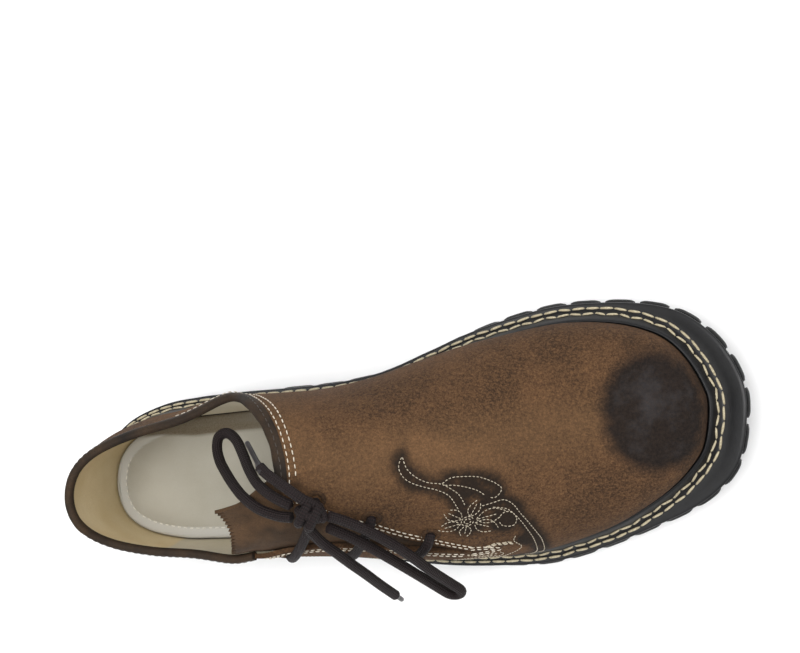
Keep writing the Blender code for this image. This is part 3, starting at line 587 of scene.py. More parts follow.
def thickened(piece, thickness, sharp=None, **settings):
    """Give a sheet its thickness, inward from its outer face."""
    wall = piece.modifiers.new("wall", 'SOLIDIFY')
    wall.thickness = thickness
    wall.offset = -1
    for key, value in settings.items():
        setattr(wall, key, value)
    graph = bpy.context.evaluated_depsgraph_get()
    mesh = bpy.data.meshes.new_from_object(piece.evaluated_get(graph))
    piece.modifiers.clear()
    piece.data = mesh
    mesh.shade_smooth()
    if sharp is not None:
        mesh.set_sharp_from_angle(angle=radians(sharp))


def cleaned(piece, distance=2e-6):
    """Join doubled points and drop the ones that no face uses."""
    bm = bmesh.new()
    bm.from_mesh(piece.data)
    bmesh.ops.remove_doubles(bm, verts=bm.verts, dist=distance)
    loose = [v for v in bm.verts if not v.link_faces]
    bmesh.ops.delete(bm, geom=loose, context='VERTS')
    bm.to_mesh(piece.data)
    bm.free()


def coordinates(mesh):
    points = np.empty(len(mesh.vertices) * 3)
    mesh.vertices.foreach_get("co", points)
    return points.reshape(-1, 3)


def grid_faces(sections, width, first=0, ring=True, closed=False):
    """Quads between sections of so many points; ring closes each section, closed the row."""
    faces = []
    for i in range(sections if closed else sections - 1):
        a, b = first + i * width, first + (i + 1) % sections * width
        for j in range(width if ring else width - 1):
            m = (j + 1) % width
            faces.append((a + j, a + m, b + m, b + j))
    return faces


def capped_faces(sections, width, first=0):
    """Quads of a row of rings, and a face over each of its ends."""
    last = first + (sections - 1) * width
    ends = [tuple(first + j for j in reversed(range(width))), tuple(last + j for j in range(width))]
    return grid_faces(sections, width, first) + ends


def run_of(path):
    """Distance along a path at each of its points."""
    return np.concatenate([[0], np.cumsum(np.linalg.norm(np.diff(path, axis=0), axis=1))])


def even(points, spacing, extra=()):
    """Points, and anything that goes with them, at even steps along the line."""
    points = np.asarray(points, float)
    run = run_of(points)
    count = max(2, int(round(run[-1] / spacing)))
    at = np.linspace(0, run[-1], count + 1)
    out = []
    for data in (points, *extra):
        data = np.asarray(data, float)
        out.append(np.stack([np.interp(at, run, data[:, k]) for k in range(data.shape[1])], 1))
    return out


def curve_through(points, steps=12):
    own = np.asarray(points, float)
    row = np.vstack([2 * own[0] - own[1], own, 2 * own[-1] - own[-2]])
    u = np.linspace(0, 1, steps, endpoint=False)[:, None]
    parts = [spline(*four, u) for four in zip(row, row[1:], row[2:], row[3:])]
    return np.vstack(parts + [own[-1:]])


def eased(path, rounds):
    """A path with its tight turns eased, its ends kept."""
    path = path.copy()
    for _ in range(rounds):
        path[1:-1] = (path[:-2] + 2 * path[1:-1] + path[2:]) / 4
    return path


def tangents(path):
    return unit(np.gradient(path, axis=0))


END_ROUNDING = .55              # how far a cord's end stands out, in radii


def tube_mesh(name, path, radius, finish, sides=16, round_ends=True):
    """Round cord with a map of turns round it and millimetres along it."""
    path = np.asarray(path, float)
    radius = np.broadcast_to(radius, len(path)).astype(float)
    ahead = tangents(path)
    side = np.cross(ahead[0], (0, 0, 1.0))
    if np.linalg.norm(side) < .1:
        side = np.cross(ahead[0], (0, 1.0, 0))
    frames = []
    for t in ahead:
        side = side - t * side.dot(t)
        side /= np.linalg.norm(side)
        frames.append(side.copy())
    across = np.array(frames)
    up = np.cross(ahead, across)
    angle = np.linspace(0, 2 * pi, sides + 1)
    rows = []
    for p, a, b, r in zip(path, across, up, radius):
        rows.append(p + r * (np.cos(angle)[:, None] * a + np.sin(angle)[:, None] * b))
    verts = np.vstack(rows)
    count, width = len(path), sides + 1
    faces = grid_faces(count, width, ring=False)
    run = run_of(path) / MM
    uv = np.stack([np.tile(angle / (2 * pi), count), np.repeat(run, width)], 1)
    if round_ends:
        for end, sign, first in ((0, -1, 0), (count - 1, 1, (count - 1) * width)):
            tip = path[end] + sign * ahead[end] * radius[end] * END_ROUNDING
            index = len(verts)
            verts = np.vstack([verts, tip])
            uv = np.vstack([uv, [.5, run[end]]])
            ring = [(first + j, first + j + 1) for j in range(sides)]
            faces += [(index, b, a) if sign < 0 else (index, a, b) for a, b in ring]
    made = mesh_piece(name, verts, faces, [finish], sharp=60)
    layer = made.data.uv_layers.new(name="length")
    index = np.empty(len(made.data.loops), int)
    made.data.loops.foreach_get("vertex_index", index)
    layer.data.foreach_set("uv", uv[index].ravel())
    return made


# Sizes in millimetres; wander is the slant of every other stitch
Stitch = namedtuple("Stitch", "pitch length width height wander")
SEAM = Stitch(2.8, 2.0, .55, .26, .04)
COLLAR_SEAM = Stitch(2.9, 2.0, .55, .26, .04)
BINDING_SEAM = Stitch(3.1, 2.3, .42, .20, .05)
INSOLE_SEAM = Stitch(3.0, 2.0, .60, .30, .04)
EMBROIDERY = Stitch(1.7, 1.2, .40, .20, .05)
FILLING = Stitch(2.4, 2.0, .42, .22, .3)
STITCH_RINGS = ((-.5, .25), (-.36, .8), (0, 1.0), (.36, .8), (.5, .25))
STITCH_SIDES = 6
STEPS = 8                       # points of the line from one stitch to the next


def stitches(name, rows, finish):
    """Raised stitches: rows of (points, normals, stitch)."""
    verts, faces = [], []
    angles = np.linspace(0, 2 * pi, STITCH_SIDES, endpoint=False)
    for points, normals, kind in rows:
        pitch, length, width, height = (size * MM for size in kind[:4])
        line, up = even(points, pitch / STEPS, (normals,))
        last = len(line) - 1
        for k in range(max(1, last // STEPS)):
            centre = min(k * STEPS + STEPS // 2, last)
            middle, n = line[centre], unit(up[centre])
            t = line[min(k * STEPS + STEPS, last)] - line[k * STEPS]
            size = np.linalg.norm(t)
            if size < pitch * .3:
                continue
            t = t / size
            side = np.cross(n, t)
            slant = kind.wander * (1 if k % 2 else -1)
            t = unit(t + side * slant + side * random.uniform(-.06, .06))
            side = np.cross(n, t)
            long = length * random.uniform(.93, 1.05)
            faces += capped_faces(len(STITCH_RINGS), STITCH_SIDES, len(verts))
            for along, swell in STITCH_RINGS:
                sink = -height * (.9 if abs(along) == .5 else .2)
                for angle in angles:
                    verts.append(middle + t * along * long + side * cos(angle) * width / 2 * swell
                                 + n * (sin(angle) * height * swell + height * .35 + sink))
    made = mesh_piece(name, verts, faces, [finish], sharp=80)
    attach(made, "root")
    return made


def leather_line(q, t):
    """Points a millimetre apart along a line on the leather, and its normals there."""
    points, normals = even(surface(q, t), 1.0 * MM, (normal(q, t),))
    return points, unit(normals)


# Places on the lateral side from millimetres along the shoe and up the leather
CHART_Q = AROUND - np.arange(3.0, 16.0, .05)
CHART_T = np.linspace(0, 1, 241)
CHART_GRID = on_rib(CHART_Q[:, None], CHART_T[None])
CHART_RUN = np.concatenate([np.zeros((len(CHART_Q), 1)),
                            np.cumsum(np.linalg.norm(np.diff(CHART_GRID, axis=1), axis=2), 1)], 1)


def charted(places):
    """Rib place and share of points given in millimetres on the lateral side.

    The chart's nearest place is refined by one step along its own slopes.
    """
    qs, ts = [], []
    for x, up in np.asarray(places, float) * MM:
        gap = (CHART_GRID[..., 0] - x) ** 2 + (CHART_RUN - up) ** 2
        i, j = np.unravel_index(gap.argmin(), gap.shape)
        i, j = min(max(i, 1), len(CHART_Q) - 2), min(max(j, 1), len(CHART_T) - 2)
        slope = np.array([[CHART_GRID[i + 1, j, 0] - CHART_GRID[i - 1, j, 0],
                           CHART_GRID[i, j + 1, 0] - CHART_GRID[i, j - 1, 0]],
                          [CHART_RUN[i + 1, j] - CHART_RUN[i - 1, j],
                           CHART_RUN[i, j + 1] - CHART_RUN[i, j - 1]]]) / 2
        step = np.linalg.solve(slope, (x - CHART_GRID[i, j, 0], up - CHART_RUN[i, j]))
        step = np.clip(step, -1.5, 1.5)
        qs.append(CHART_Q[i] + step[0] * (CHART_Q[1] - CHART_Q[0]))
        ts.append(min(max(CHART_T[j] + step[1] * CHART_T[1], .005), .99))
    return np.array(qs), np.array(ts)


def chart_line(places):
    """A smooth line on the leather through places of the chart, with its normals."""
    flat = curve_through(np.asarray(places, float), 8)
    return leather_line(*charted(flat))


PETAL_WIDTH = .22               # half width in shares of the petal's length


def petal(centre, tip, width):
    """Outline of a petal in the chart, from near the centre to the tip and back."""
    c, e = np.asarray(centre, float), np.asarray(tip, float)
    along = e - c
    side = np.array([-along[1], along[0]])
    shape = ((.22, .0), (.40, .8), (.62, 1.0), (.84, .55), (1.0, 0.0))
    one = [c + along * a + side * b * width for a, b in shape]
    two = [c + along * a - side * b * width for a, b in shape[::-1][1:]]
    return [one, two]


def ornament_lines():
    lines = CURL + LEAF + BORDER + [RING] + LOW_CURL + LOW_LEAF + LOW_SCROLL + ANIMAL
    for centre, petals in ((FLOWER, FLOWER_PETALS), (LOW_FLOWER, LOW_PETALS)):
        for tip in petals:
            c, e = np.array(centre, float), np.array(tip, float)
            vein = [c + (e - c) * .25, c + (e - c) * .8]
            lines = lines + petal(centre, tip, PETAL_WIDTH) + [vein]
        for radius in (1.4, 2.6):
            lines = lines + [[(centre[0] + radius * cos(a), centre[1] + radius * sin(a))
                              for a in np.linspace(0, 2 * pi, 9)]]
    return lines


# Pieces

UPPER_STEP = 1 / 16
QUARTER_ROWS, GAP_ROWS, VAMP_ROWS = 26, 4, 26
ROWS = QUARTER_ROWS + GAP_ROWS + VAMP_ROWS

# Soft creases: (fold, share) points, half width and depth in millimetres; fold
# below 19 medial, above it lateral
CREASES = [
    ([(10.6, .62), (10.9, .80), (11.0, .97)], 2.6, .38),
    ([(11.3, .60), (11.5, .78), (11.6, .95)], 2.4, .34),
    ([(12.1, .58), (12.2, .78), (12.3, .93)], 2.8, .30),
    ([(26.4, .70), (26.7, .85), (27.0, .97)], 2.6, .30),
    ([(25.6, .62), (25.8, .80), (26.0, .96)], 2.8, .28),
    ([(9.2, .50), (9.5, .66), (9.7, .82)], 3.2, .30),
    ([(3.2, .30), (3.6, .36), (4.3, .38)], 3.0, .45),
    ([(34.6, .24), (34.0, .30), (33.3, .31)], 3.0, .45),
]


def gap_to(points, place):
    return np.linalg.norm(points - place, axis=1)


def relief(points):
    """Soft troughs with a raised lip on both sides, along the creases."""
    depth = np.zeros(len(points))
    for line, half, deep in CREASES:
        own = curve_through(line, 10)
        path = surface(own[:, 0], own[:, 1])
        near = np.full(len(points), 1.0)
        fade = np.zeros(len(points))
        for k, p in enumerate(path):
            gap = gap_to(points, p)
            closer = gap < near
            near = np.where(closer, gap, near)
            fade = np.where(closer, sin(pi * min(max(k / (len(path) - 1), .08), .92)), fade)
        u = near / (half * MM)
        depth += fade * deep * MM * (.55 * np.exp(-((u - 1.7) / .7) ** 2) - np.exp(-u * u))
    return depth


def build_upper(outer, inner):
    """Leather shell on a fine net of the shared surface, thickened inward."""
    qs = np.arange(0, AROUND, UPPER_STEP)
    low, high = quarter_top(qs), vamp_bottom(qs)
    j = np.arange(ROWS + 1)
    first = low[:, None] * np.minimum(j / QUARTER_ROWS, 1)
    second = (high - low)[:, None] * np.clip((j - QUARTER_ROWS) / GAP_ROWS, 0, 1)
    third = (1 - high)[:, None] * np.clip((j - QUARTER_ROWS - GAP_ROWS) / VAMP_ROWS, 0, 1)
    share = first + second + third
    flat = surface(qs[:, None], share).reshape(-1, 3)
    flat = flat + normal(qs[:, None], share).reshape(-1, 3) * relief(flat)[:, None]
    xy = foot(qs)
    bottom = np.concatenate([xy, (ledge(xy[:, :1]) - WELT_THICK)], 1) + SHIFT
    verts = np.concatenate([flat, bottom])
    count, rows = len(qs), ROWS + 1
    folds = fold(qs)
    faces = []
    for i in range(count):
        k = (i + 1) % count
        behind_collar = min(folds[i], folds[k]) < COLLAR_RIB
        beside_throat = qs[i] >= TOE and max(folds[i], folds[k]) <= THROAT_RIB
        for r in range(ROWS):
            if behind_collar and r >= QUARTER_ROWS:
                break
            if beside_throat and QUARTER_ROWS <= r < QUARTER_ROWS + GAP_ROWS:
                continue
            a, b = i * rows + r, k * rows + r
            faces.append((a + 1, b + 1, b, a))
        faces.append((i * rows, k * rows, len(flat) + k, len(flat) + i))
    made = mesh_piece("upper_leather", verts, faces, [outer, inner])
    dark, burn_and_sheen, light = leather_marks(verts, np.concatenate([np.repeat(qs, rows), qs]),
                                       np.concatenate([share.ravel(), np.zeros(count)]))
    paint(made, burn_and_sheen, dark, light)
    cleaned(made)
    thickened(made, WALL, 50, use_quality_normals=True, material_offset=1)
    repaint_inside(made)
    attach(made, "root")
    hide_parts("upper")


# Darkened places of the leather: the ornament's stains at chart places and radii, then painted
# shade at points and radii, with depths from 0 to 1; all in millimetres
STAINS = [(FLOWER, 10), (LOW_FLOWER, 11), ((197, 51), 8), ((187, 75), 6), ((204, 34), 6),
          ((200, 12), 8)]
SHADES = [((107, 38, 52), 9, .30), ((80, 37, 58), 7, .25), ((20, 20, 92), 9, .22),
          ((-31, -6, 107), 12, .45), ((-5, -24, 90), 8, .35), ((14, -32, 76), 8, .35)]
LINE_STAIN = 4.2                # reach of the dark beside the ornament's main lines
TOE_BURN = (113, 7.6)           # middle of the burnished toe
BURN_HALF = (21, 25)            # its half length and half width
WELT_SHADE = 3.2                # height of the painted shade beside the welt


def leather_marks(points, q, t):
    """Ornament stain with painted shade, toe burn with its painted sheen, and a lighter instep ridge and
    medial quarter of the leather, from 0 to 1.
    """
    x, y = ((points[:, k] / MM - TOE_BURN[k]) / BURN_HALF[k] for k in (0, 1))
    # The burn is lifted in its middle, where it turns to a painted sheen.
    sheen_middle = .82 + .28 * (1 - smooth(0, .55, np.hypot(x, y - .25)))
    burn_and_sheen = (1 - smooth(.72, 1.30, np.hypot(x, y))) * sheen_middle * (points[:, 2] > 35 * MM)
    dark = np.zeros(len(points))
    for line in CURL + LEAF + BORDER + LOW_CURL + LOW_LEAF:
        for place in chart_line(line)[0][::3]:
            gap = gap_to(points, place) / (LINE_STAIN * MM)
            dark = np.maximum(dark, .92 * np.exp(-gap ** 2))
    for centre, radius in STAINS:
        gap = gap_to(points, surface(*charted([centre]))[0]) / (radius * MM)
        dark = np.maximum(dark, 1.05 * np.exp(-gap ** 4))
    for place, radius, depth in SHADES:
        gap = gap_to(points, np.array(place) * MM) / (radius * MM)
        dark = np.maximum(dark, depth * np.exp(-gap ** 2))
    # Painted shade along the welt, fading upward.
    above = points[:, 2] - SHIFT[2] - feather(points[:, 0] - SHIFT[0])
    dark = np.maximum(dark, .42 * np.clip(np.exp(-above / (WELT_SHADE * MM)), 0, 1))
    f = fold(q)
    lateral = q % AROUND > TOE
    throat = lateral & (f > COLLAR_RIB) & (f < THROAT_RIB + 1)
    # Painted shade along both edges of the throat.
    gap = np.minimum(np.abs(t - quarter_top(q)), np.abs(t - vamp_bottom(q)))
    dark = np.where(throat, np.maximum(dark, .35 * np.exp(-(gap / .03) ** 2)), dark)
    ridge = smooth(.70, 1.0, t) * smooth(6, 8, f) * (1 - smooth(14, 17, f))
    medial = smooth(2.5, 4.5, f) * (1 - smooth(6, 8, f)) * (1 - lateral)
    return np.clip(dark, 0, 1), burn_and_sheen, .16 * ridge + .20 * medial


# Where the lining's heel piece and its painted shade change, from one end of each blend to the other
HEEL_PIECE = (-113.5 * MM, -111.5 * MM)
LOW_LINING_SHADE = (28 * MM, 62 * MM)
FRONT_LINING_SHADE = (-75 * MM, -20 * MM)


def repaint_inside(piece):
    """Marks of the lining: tan heel piece, painted shade low down and to the front."""
    mesh = piece.data
    points = coordinates(mesh)
    inside = np.zeros(len(points), bool)
    for face in mesh.polygons:
        if face.material_index == 1:
            inside[list(face.vertices)] = True
    values = np.empty(len(points) * 4)
    mesh.attributes["marks"].data.foreach_get("color", values)
    values = values.reshape(-1, 4)
    heel = 1 - smooth(*HEEL_PIECE, points[:, 0])
    # Painted shade, deeper low down and towards the toe.
    deep = 1 - smooth(*LOW_LINING_SHADE, points[:, 2])
    forward_shade = smooth(*FRONT_LINING_SHADE, points[:, 0])
    values[inside, 0] = heel[inside]
    values[inside, 1] = np.clip(.55 * deep + .6 * forward_shade, 0, 1)[inside]
    mesh.attributes["marks"].data.foreach_set("color", values.ravel())


def edge_path():
    """Collar edge of the leather: lateral corner, heel, medial corner, vamp corner."""
    qs = np.concatenate([np.arange(AROUND - COLLAR_RIB, AROUND, .05), np.arange(0, COLLAR_RIB, .02)])
    ts = quarter_top(qs)
    rise = np.arange(float(quarter_top(COLLAR_RIB)), 1.0, .01)
    fall = np.arange(1.0, float(vamp_bottom(AROUND - COLLAR_RIB)), -.01)
    q = np.concatenate([qs, np.full(len(rise), COLLAR_RIB), np.full(len(fall), AROUND - COLLAR_RIB)])
    t = np.concatenate([ts, rise, fall])
    points, normals = leather_line(q, t)
    return eased(points, 6), normals


# Outward from the leather and beyond its edge, in millimetres
BINDING_SECTION = [(.10, -1.9), (.55, -2.0), (.85, -1.2), (.95, .4), (.80, 1.8), (.25, 2.9),
                   (-.55, 3.35), (-1.35, 3.3), (-2.2, 2.8), (-2.75, 1.7), (-2.9, .4),
                   (-2.8, -1.2), (-2.5, -2.0), (-2.1, -1.9)]
THREAD_LIFT = .1 * MM


def build_binding(finish, thread, dark_thread):
    points, normals = edge_path()
    beyond = unit(np.cross(tangents(points), normals))
    wobble = 1 + .03 * np.sin(np.arange(len(points)) * .55)[:, None]
    section = np.array(BINDING_SECTION)[None] * MM
    verts = (points[:, None] + normals[:, None] * section[..., :1]
             + (beyond * wobble)[:, None] * section[..., 1:])
    faces = capped_faces(len(points), len(BINDING_SECTION))
    made = mesh_piece("collar_binding_strip", verts.reshape(-1, 3), faces, [finish], sharp=60)
    paint(made)
    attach(made, "root")
    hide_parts("collar_binding")
    on_strip = points + normals * .92 * MM + beyond * .2 * MM
    stitches("binding_thread", [(on_strip, normals, BINDING_SEAM)], dark_thread)
    rows = []
    front = slice(int(len(points) * .62), len(points) - 4)
    for part, inset in ((slice(None), 3.0), (front, 5.6)):
        line = points[part] - beyond[part] * inset * MM + normals[part] * THREAD_LIFT
        rows.append((line, normals[part], COLLAR_SEAM))
    stitches("collar_thread", rows, thread)


def throat_edges():
    """Both edges of the throat as (points, normals, into the leather)."""
    out = []
    q = AROUND - np.arange(COLLAR_RIB + .15, THROAT_RIB, .04)
    for table, sign in ((vamp_bottom, 1), (quarter_top, -1)):
        t = table(q)
        points, normals = leather_line(q, t)
        into = unit(np.cross(normals, tangents(points))) * sign
        up = surface(q[:1], t[:1] + .01 * sign)[0] - surface(q[:1], t[:1])[0]
        if into[0].dot(up) < 0:
            into = -into
        out.append((points, normals, into))
    return out


def build_throat_thread(thread):
    """Two rows along each edge of the throat, and their turns round its front end."""
    rows = []
    for points, normals, into in throat_edges():
        for inset in (2.0, 4.3):
            rows.append((points + into * inset * MM + normals * THREAD_LIFT, normals, SEAM))
    end = AROUND - THROAT_RIB
    middle = float(vamp_bottom(end) + quarter_top(end)) / 2
    for table, side in ((vamp_bottom, 1), (quarter_top, -1)):
        for inset in (.018, .042):
            reach = THROAT_RIB + .42 + inset * 6
            f = np.linspace(THROAT_RIB - .05, reach, 14)
            fade = 1 - smooth(THROAT_RIB, reach, f)
            t = middle + (float(table(end)) + side * inset - middle) * np.sqrt(fade)
            q = AROUND - f
            rows.append((surface(q, t, THREAD_LIFT), normal(q, t), SEAM))
    stitches("throat_thread", rows, thread)


def build_ornament(thread):
    """The stitched flowers, leaves and animal, and the ground that it stands on."""
    rows = []
    for line in ornament_lines():
        points, normals = chart_line(line)
        rows.append((points + normals * .08 * MM, normals, EMBROIDERY))
    points, normals = chart_line(GROUND)
    into = unit(np.cross(normals, tangents(points)))
    for k in range(4):
        line = points + into * (k - 1.5) * .5 * MM + normals * THREAD_LIFT
        rows.append((line, normals, FILLING))
    stitches("ornament_thread", rows, thread)


RIM_SECTION = ((2.3, .15), (2.9, .35), (3.5, .22), (4.0, -.05))    # radius and lift, millimetres
RIM_SIDES = 20


def build_eyelets(finish):
    """Rims of pressed leather round the six punched holes."""
    verts, faces = [], []
    for q, t in [end for eyelet in EYELETS for end in eyelet_places(eyelet)]:
        middle, n = surface(q, t), normal(q, t)
        side = unit(np.cross(n, (0, 0, 1.0)))
        up = np.cross(n, side)
        faces += grid_faces(len(RIM_SECTION), RIM_SIDES, len(verts))
        for radius, lift in RIM_SECTION:
            for a in np.linspace(0, 2 * pi, RIM_SIDES, endpoint=False):
                verts.append(middle + (side * cos(a) + up * sin(a)) * radius * MM + n * lift * MM)
    made = mesh_piece("eyelet_rims", verts, faces, [finish], sharp=80)
    thickened(made, .4 * MM)
    paint(made, 0, .5, 0)
    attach(made, "root")


FLAP_ROWS, FLAP_COLUMNS = 96, 112
FLAP_TEETH = 22
TOOTH = .17                     # depth of the flap's teeth, in folds
FLAP_REACH = .96                # rib share of the flap's upper edge at the collar
FLAP_SLACK = (-1.5, 6.5, -5.0)  # how far the flap's upper corner hangs over, in millimetres


def build_tongue(finish):
    """Suede flap under the throat, cut in teeth at its free end."""
    v = np.linspace(0, 1, FLAP_ROWS + 1)[:, None]
    u = np.linspace(0, 1, FLAP_COLUMNS + 1)[None]
    free_end = TONGUE_BACK + .15 - .45 * u
    folds = TONGUE_FRONT + (free_end - TONGUE_FRONT) * v
    q = AROUND - folds
    low = quarter_top(q) - TONGUE_LAP
    high = np.minimum(vamp_bottom(q) + TONGUE_LAP, 1.0)
    reach = FLAP_REACH - .04 * (1 - smooth(TONGUE_BACK, COLLAR_RIB, folds))
    high = high + (reach - high) * (1 - smooth(COLLAR_RIB, COLLAR_RIB + 2, folds))
    t = low + (high - low) * u
    teeth = np.abs((u * FLAP_TEETH) % 1 - .5) * 2
    q = q + 0 * t + TOOTH * (teeth - .5) * smooth(.95, 1, v)
    bulge = .9 * MM * np.sin(pi * u) * smooth(6.2, 7.2, folds)
    verts = surface(q, t, -(WALL + TONGUE_GAP) + bulge + 0 * t)
    slack = (smooth(.62, 1, v) * smooth(.35, 1, u))[..., None]
    verts = (verts + slack * np.array(FLAP_SLACK) * MM).reshape(-1, 3)
    faces = grid_faces(FLAP_ROWS + 1, FLAP_COLUMNS + 1, ring=False)
    made = mesh_piece("tongue_flap", verts, faces, [finish])
    thickened(made, TONGUE_THICK, 50)
    paint(made)
    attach(made, "root")
    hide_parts("tongue")


STAY_ROWS, STAY_COLUMNS = 41, 29
STAY_CROWN = 1.1 * MM
STAY_THICK = 1.0 * MM


def build_stay(finish, thread):
    """Strip over the heel seam, narrow in the middle, with a row of thread on each side."""
    k = np.linspace(0, 1, STAY_ROWS)[None]
    side = np.linspace(-1, 1, STAY_COLUMNS)[:, None]
    half = .75 + .25 * np.cos(2 * pi * k) + .25 * k
    t = .01 + (float(quarter_top(0)) - .03) * k + 0 * side
    crown = CLEARANCE + STAY_CROWN * (1 - side ** 8) + 0 * k
    verts = surface(half * side, t, crown).reshape(-1, 3)
    faces = grid_faces(STAY_COLUMNS, STAY_ROWS, ring=False)
    made = mesh_piece("heel_stay", verts, faces, [finish])
    thickened(made, STAY_THICK, 50)
    paint(made, 0, .18, 0)
    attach(made, "root")
    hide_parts("back_stay")
    lines = []
    for share in (-.86, -.70, .70, .86):
        q = half[0] * share
        lines.append((surface(q, t[0], CLEARANCE + STAY_CROWN + 0 * q), normal(q, t[0]), SEAM))
    stitches("stay_thread", lines, thread)


# Shares of the welt's width, and heights in shares of its thickness (below 0) or RAND
WELT_SECTION = [(0.0, -1.0), (.5, -1.0), (.97, -1.0), (1.0, -.85), (1.0, -.35), (.985, -.12), (.95, 0.0),
                (.84, .015), (.74, .02), (.64, .07), (.56, .15), (.48, .25), (.40, .40), (.33, .56),
                (.27, .72), (.21, .85), (.15, .95), (.10, 1.0), (.05, 1.02), (0.0, .97)]
STITCHED = 9.0 * MM             # widest part of the welt that carries the thread
SEAM_SHARE = .74                # share of the section that this part takes up
# Share of the width that each row of thread runs on
WELT_ROWS = ((.72, Stitch(6.4, 6.0, 1.25, .55, .05)), (.42, Stitch(5.6, 5.5, 1.15, .55, .22)))


def section_reach(q, share):
    """Distance from the leather to a share of the welt, its stitched part never wider."""
    inner = CLEARANCE + .1 * MM
    width = welt_width(q)
    narrow = np.minimum(width, STITCHED)
    close = inner + (narrow - inner) * share
    rest = (share - SEAM_SHARE) / (1 - SEAM_SHARE)
    seam = inner + (narrow - inner) * SEAM_SHARE
    return np.where(share < SEAM_SHARE, close, seam + (width - seam) * rest)


def section_place(q, share, lift=0.0):
    """Point and normal of the welt's upper face at a share of its width."""
    shares, heights = np.array(WELT_SECTION[6:])[::-1].T

    def at(s):
        d = section_reach(q, s)
        xy = foot(q) + outward(q) * d[..., None]
        z = ledge(xy[..., 0]) + np.interp(s, shares, heights) * RAND
        return np.concatenate([xy, z[..., None]], -1) + SHIFT

    across = at(share + .03) - at(share - .03)
    n = unit(np.cross(across, np.concatenate([outward(q)[..., 1:], -outward(q)[..., :1],
                                              0 * q[..., None]], -1)))
    n = np.where(n[..., 2:] < 0, -n, n)
    return at(share) + n * lift, n


def build_welt(finish, thread):
    """Storm welt: a ledge folded up against the leather, with its two rows of thread."""
    qs = np.arange(0, AROUND, .08)
    section = np.array(WELT_SECTION)
    d = section_reach(qs[:, None], section[None, :, 0])
    xy = foot(qs)[:, None] + outward(qs)[:, None] * d[..., None]
    drop = WELT_THICK - CLEARANCE
    lift = np.where(section[:, 1] < 0, section[:, 1] * drop, section[:, 1] * RAND)
    z = ledge(xy[..., 0]) + lift
    verts = (np.concatenate([xy, z[..., None]], -1) + SHIFT).reshape(-1, 3)
    faces = grid_faces(len(qs), len(section), closed=True)
    made = mesh_piece("storm_welt", verts, faces, [finish], sharp=60)
    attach(made, "root")
    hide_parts("welt")
    rows = []
    close = np.append(np.arange(0, AROUND, .05), AROUND - .02)
    for share, kind in WELT_ROWS:
        points, normals = section_place(close, np.full(len(close), share), .15 * MM)
        rows.append((points, normals, kind))
    stitches("welt_thread", rows, thread)


PLATE_STEP = .1


def plate_piece(name, levels, finish, across, dish=None):
    """A closed plate: rings of (inset, height function) from the bottom up.

    Its lower and upper faces are netted by rows from rib to opposite rib, each of so
    many steps across; dish lowers the upper face by a share across and along.
    """
    half = np.arange(0, TOE + PLATE_STEP / 2, PLATE_STEP)
    qs = np.concatenate([half, AROUND - half[-2:0:-1]])
    count = len(qs)
    verts = []
    for inset, height in levels:
        xy = foot(qs) + outward(qs) * inset(qs)[:, None]
        verts.append(np.concatenate([xy, height(xy[:, 0])[:, None]], 1) + SHIFT)
    faces = [face[::-1] for face in grid_faces(len(levels), count)]
    base = np.vstack(verts)
    for level, flip in ((0, True), (len(levels) - 1, False)):
        rows = []
        for i in range(len(half)):
            a = level * count + i
            b = level * count + (count - i) % count
            if a == b or i == len(half) - 1:
                rows.append([a])
                continue
            line = [a]
            for k in range(1, across):
                p = base[a] + (base[b] - base[a]) * k / across
                p[2] = levels[level][1](np.array([p[0] - SHIFT[0]]))[0]
                if dish is not None and not flip:
                    p[2] -= dish(k / across, i / len(half))
                base = np.vstack([base, p])
                line.append(len(base) - 1)
            rows.append(line + [b])
        for one, two in zip(rows, rows[1:]):
            if len(one) == 1:
                part = [(one[0], two[k + 1], two[k]) for k in range(across)]
            elif len(two) == 1:
                part = [(two[0], one[k], one[k + 1]) for k in range(across)]
            else:
                part = [(one[k], one[k + 1], two[k + 1], two[k]) for k in range(across)]
            faces += [f[::-1] for f in part] if flip else part
    return mesh_piece(name, base, faces, [finish], sharp=50)


LUG_PITCH = 15.8 * MM
TREAD_START = 88 * MM
LUG_GAP = 3.2 * MM
# Past the midsole's lip and up from the ledge, and how far each step along a lug stands in
LUG_PROFILE = [(-3.0, -2.8), (.35, -3.2), (.95, -4.0), (1.2, -6.0), (1.1, -9.2), (.6, -12.4),
               (-3.0, -12.4)]
LUG_EASE = (.55, .1, 0, 0, 0, 0, 0, .1, .55)


def build_lug_sides(finish):
    """Moulded sides of the lugs, standing a little past the midsole's lip."""
    qs = np.arange(0, AROUND, .02)
    xy = foot(qs) + outward(qs) * welt_width(qs)[:, None]
    run = run_of(xy)
    keep = np.flatnonzero(xy[:, 0] > TREAD_START)
    start, end = run[keep[0]], run[keep[-1]]
    count = int(round((end - start) / LUG_PITCH))
    pitch = (end - start) / count
    verts, faces = [], []
    for k in range(count):
        a = start + pitch * k + LUG_GAP / 2
        at = np.interp(np.linspace(a, a + pitch - LUG_GAP, len(LUG_EASE)), run, qs)
        faces += capped_faces(len(LUG_EASE), len(LUG_PROFILE), len(verts))
        for q, inset in zip(at, LUG_EASE):
            side, place = outward(q), foot(q)
            for reach, height in LUG_PROFILE:
                past = max(reach, 0) * (.25 + .75 * float(smooth(170 * MM, 205 * MM, place[0])))
                p = place + side * (welt_width(q) + (past + min(reach, 0) - inset) * MM)
                verts.append(np.array((*p, ledge(p[0]) + height * MM)) + SHIFT)
    made = mesh_piece("lug_sides", verts, faces, [finish], sharp=45)
    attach(made, "root")


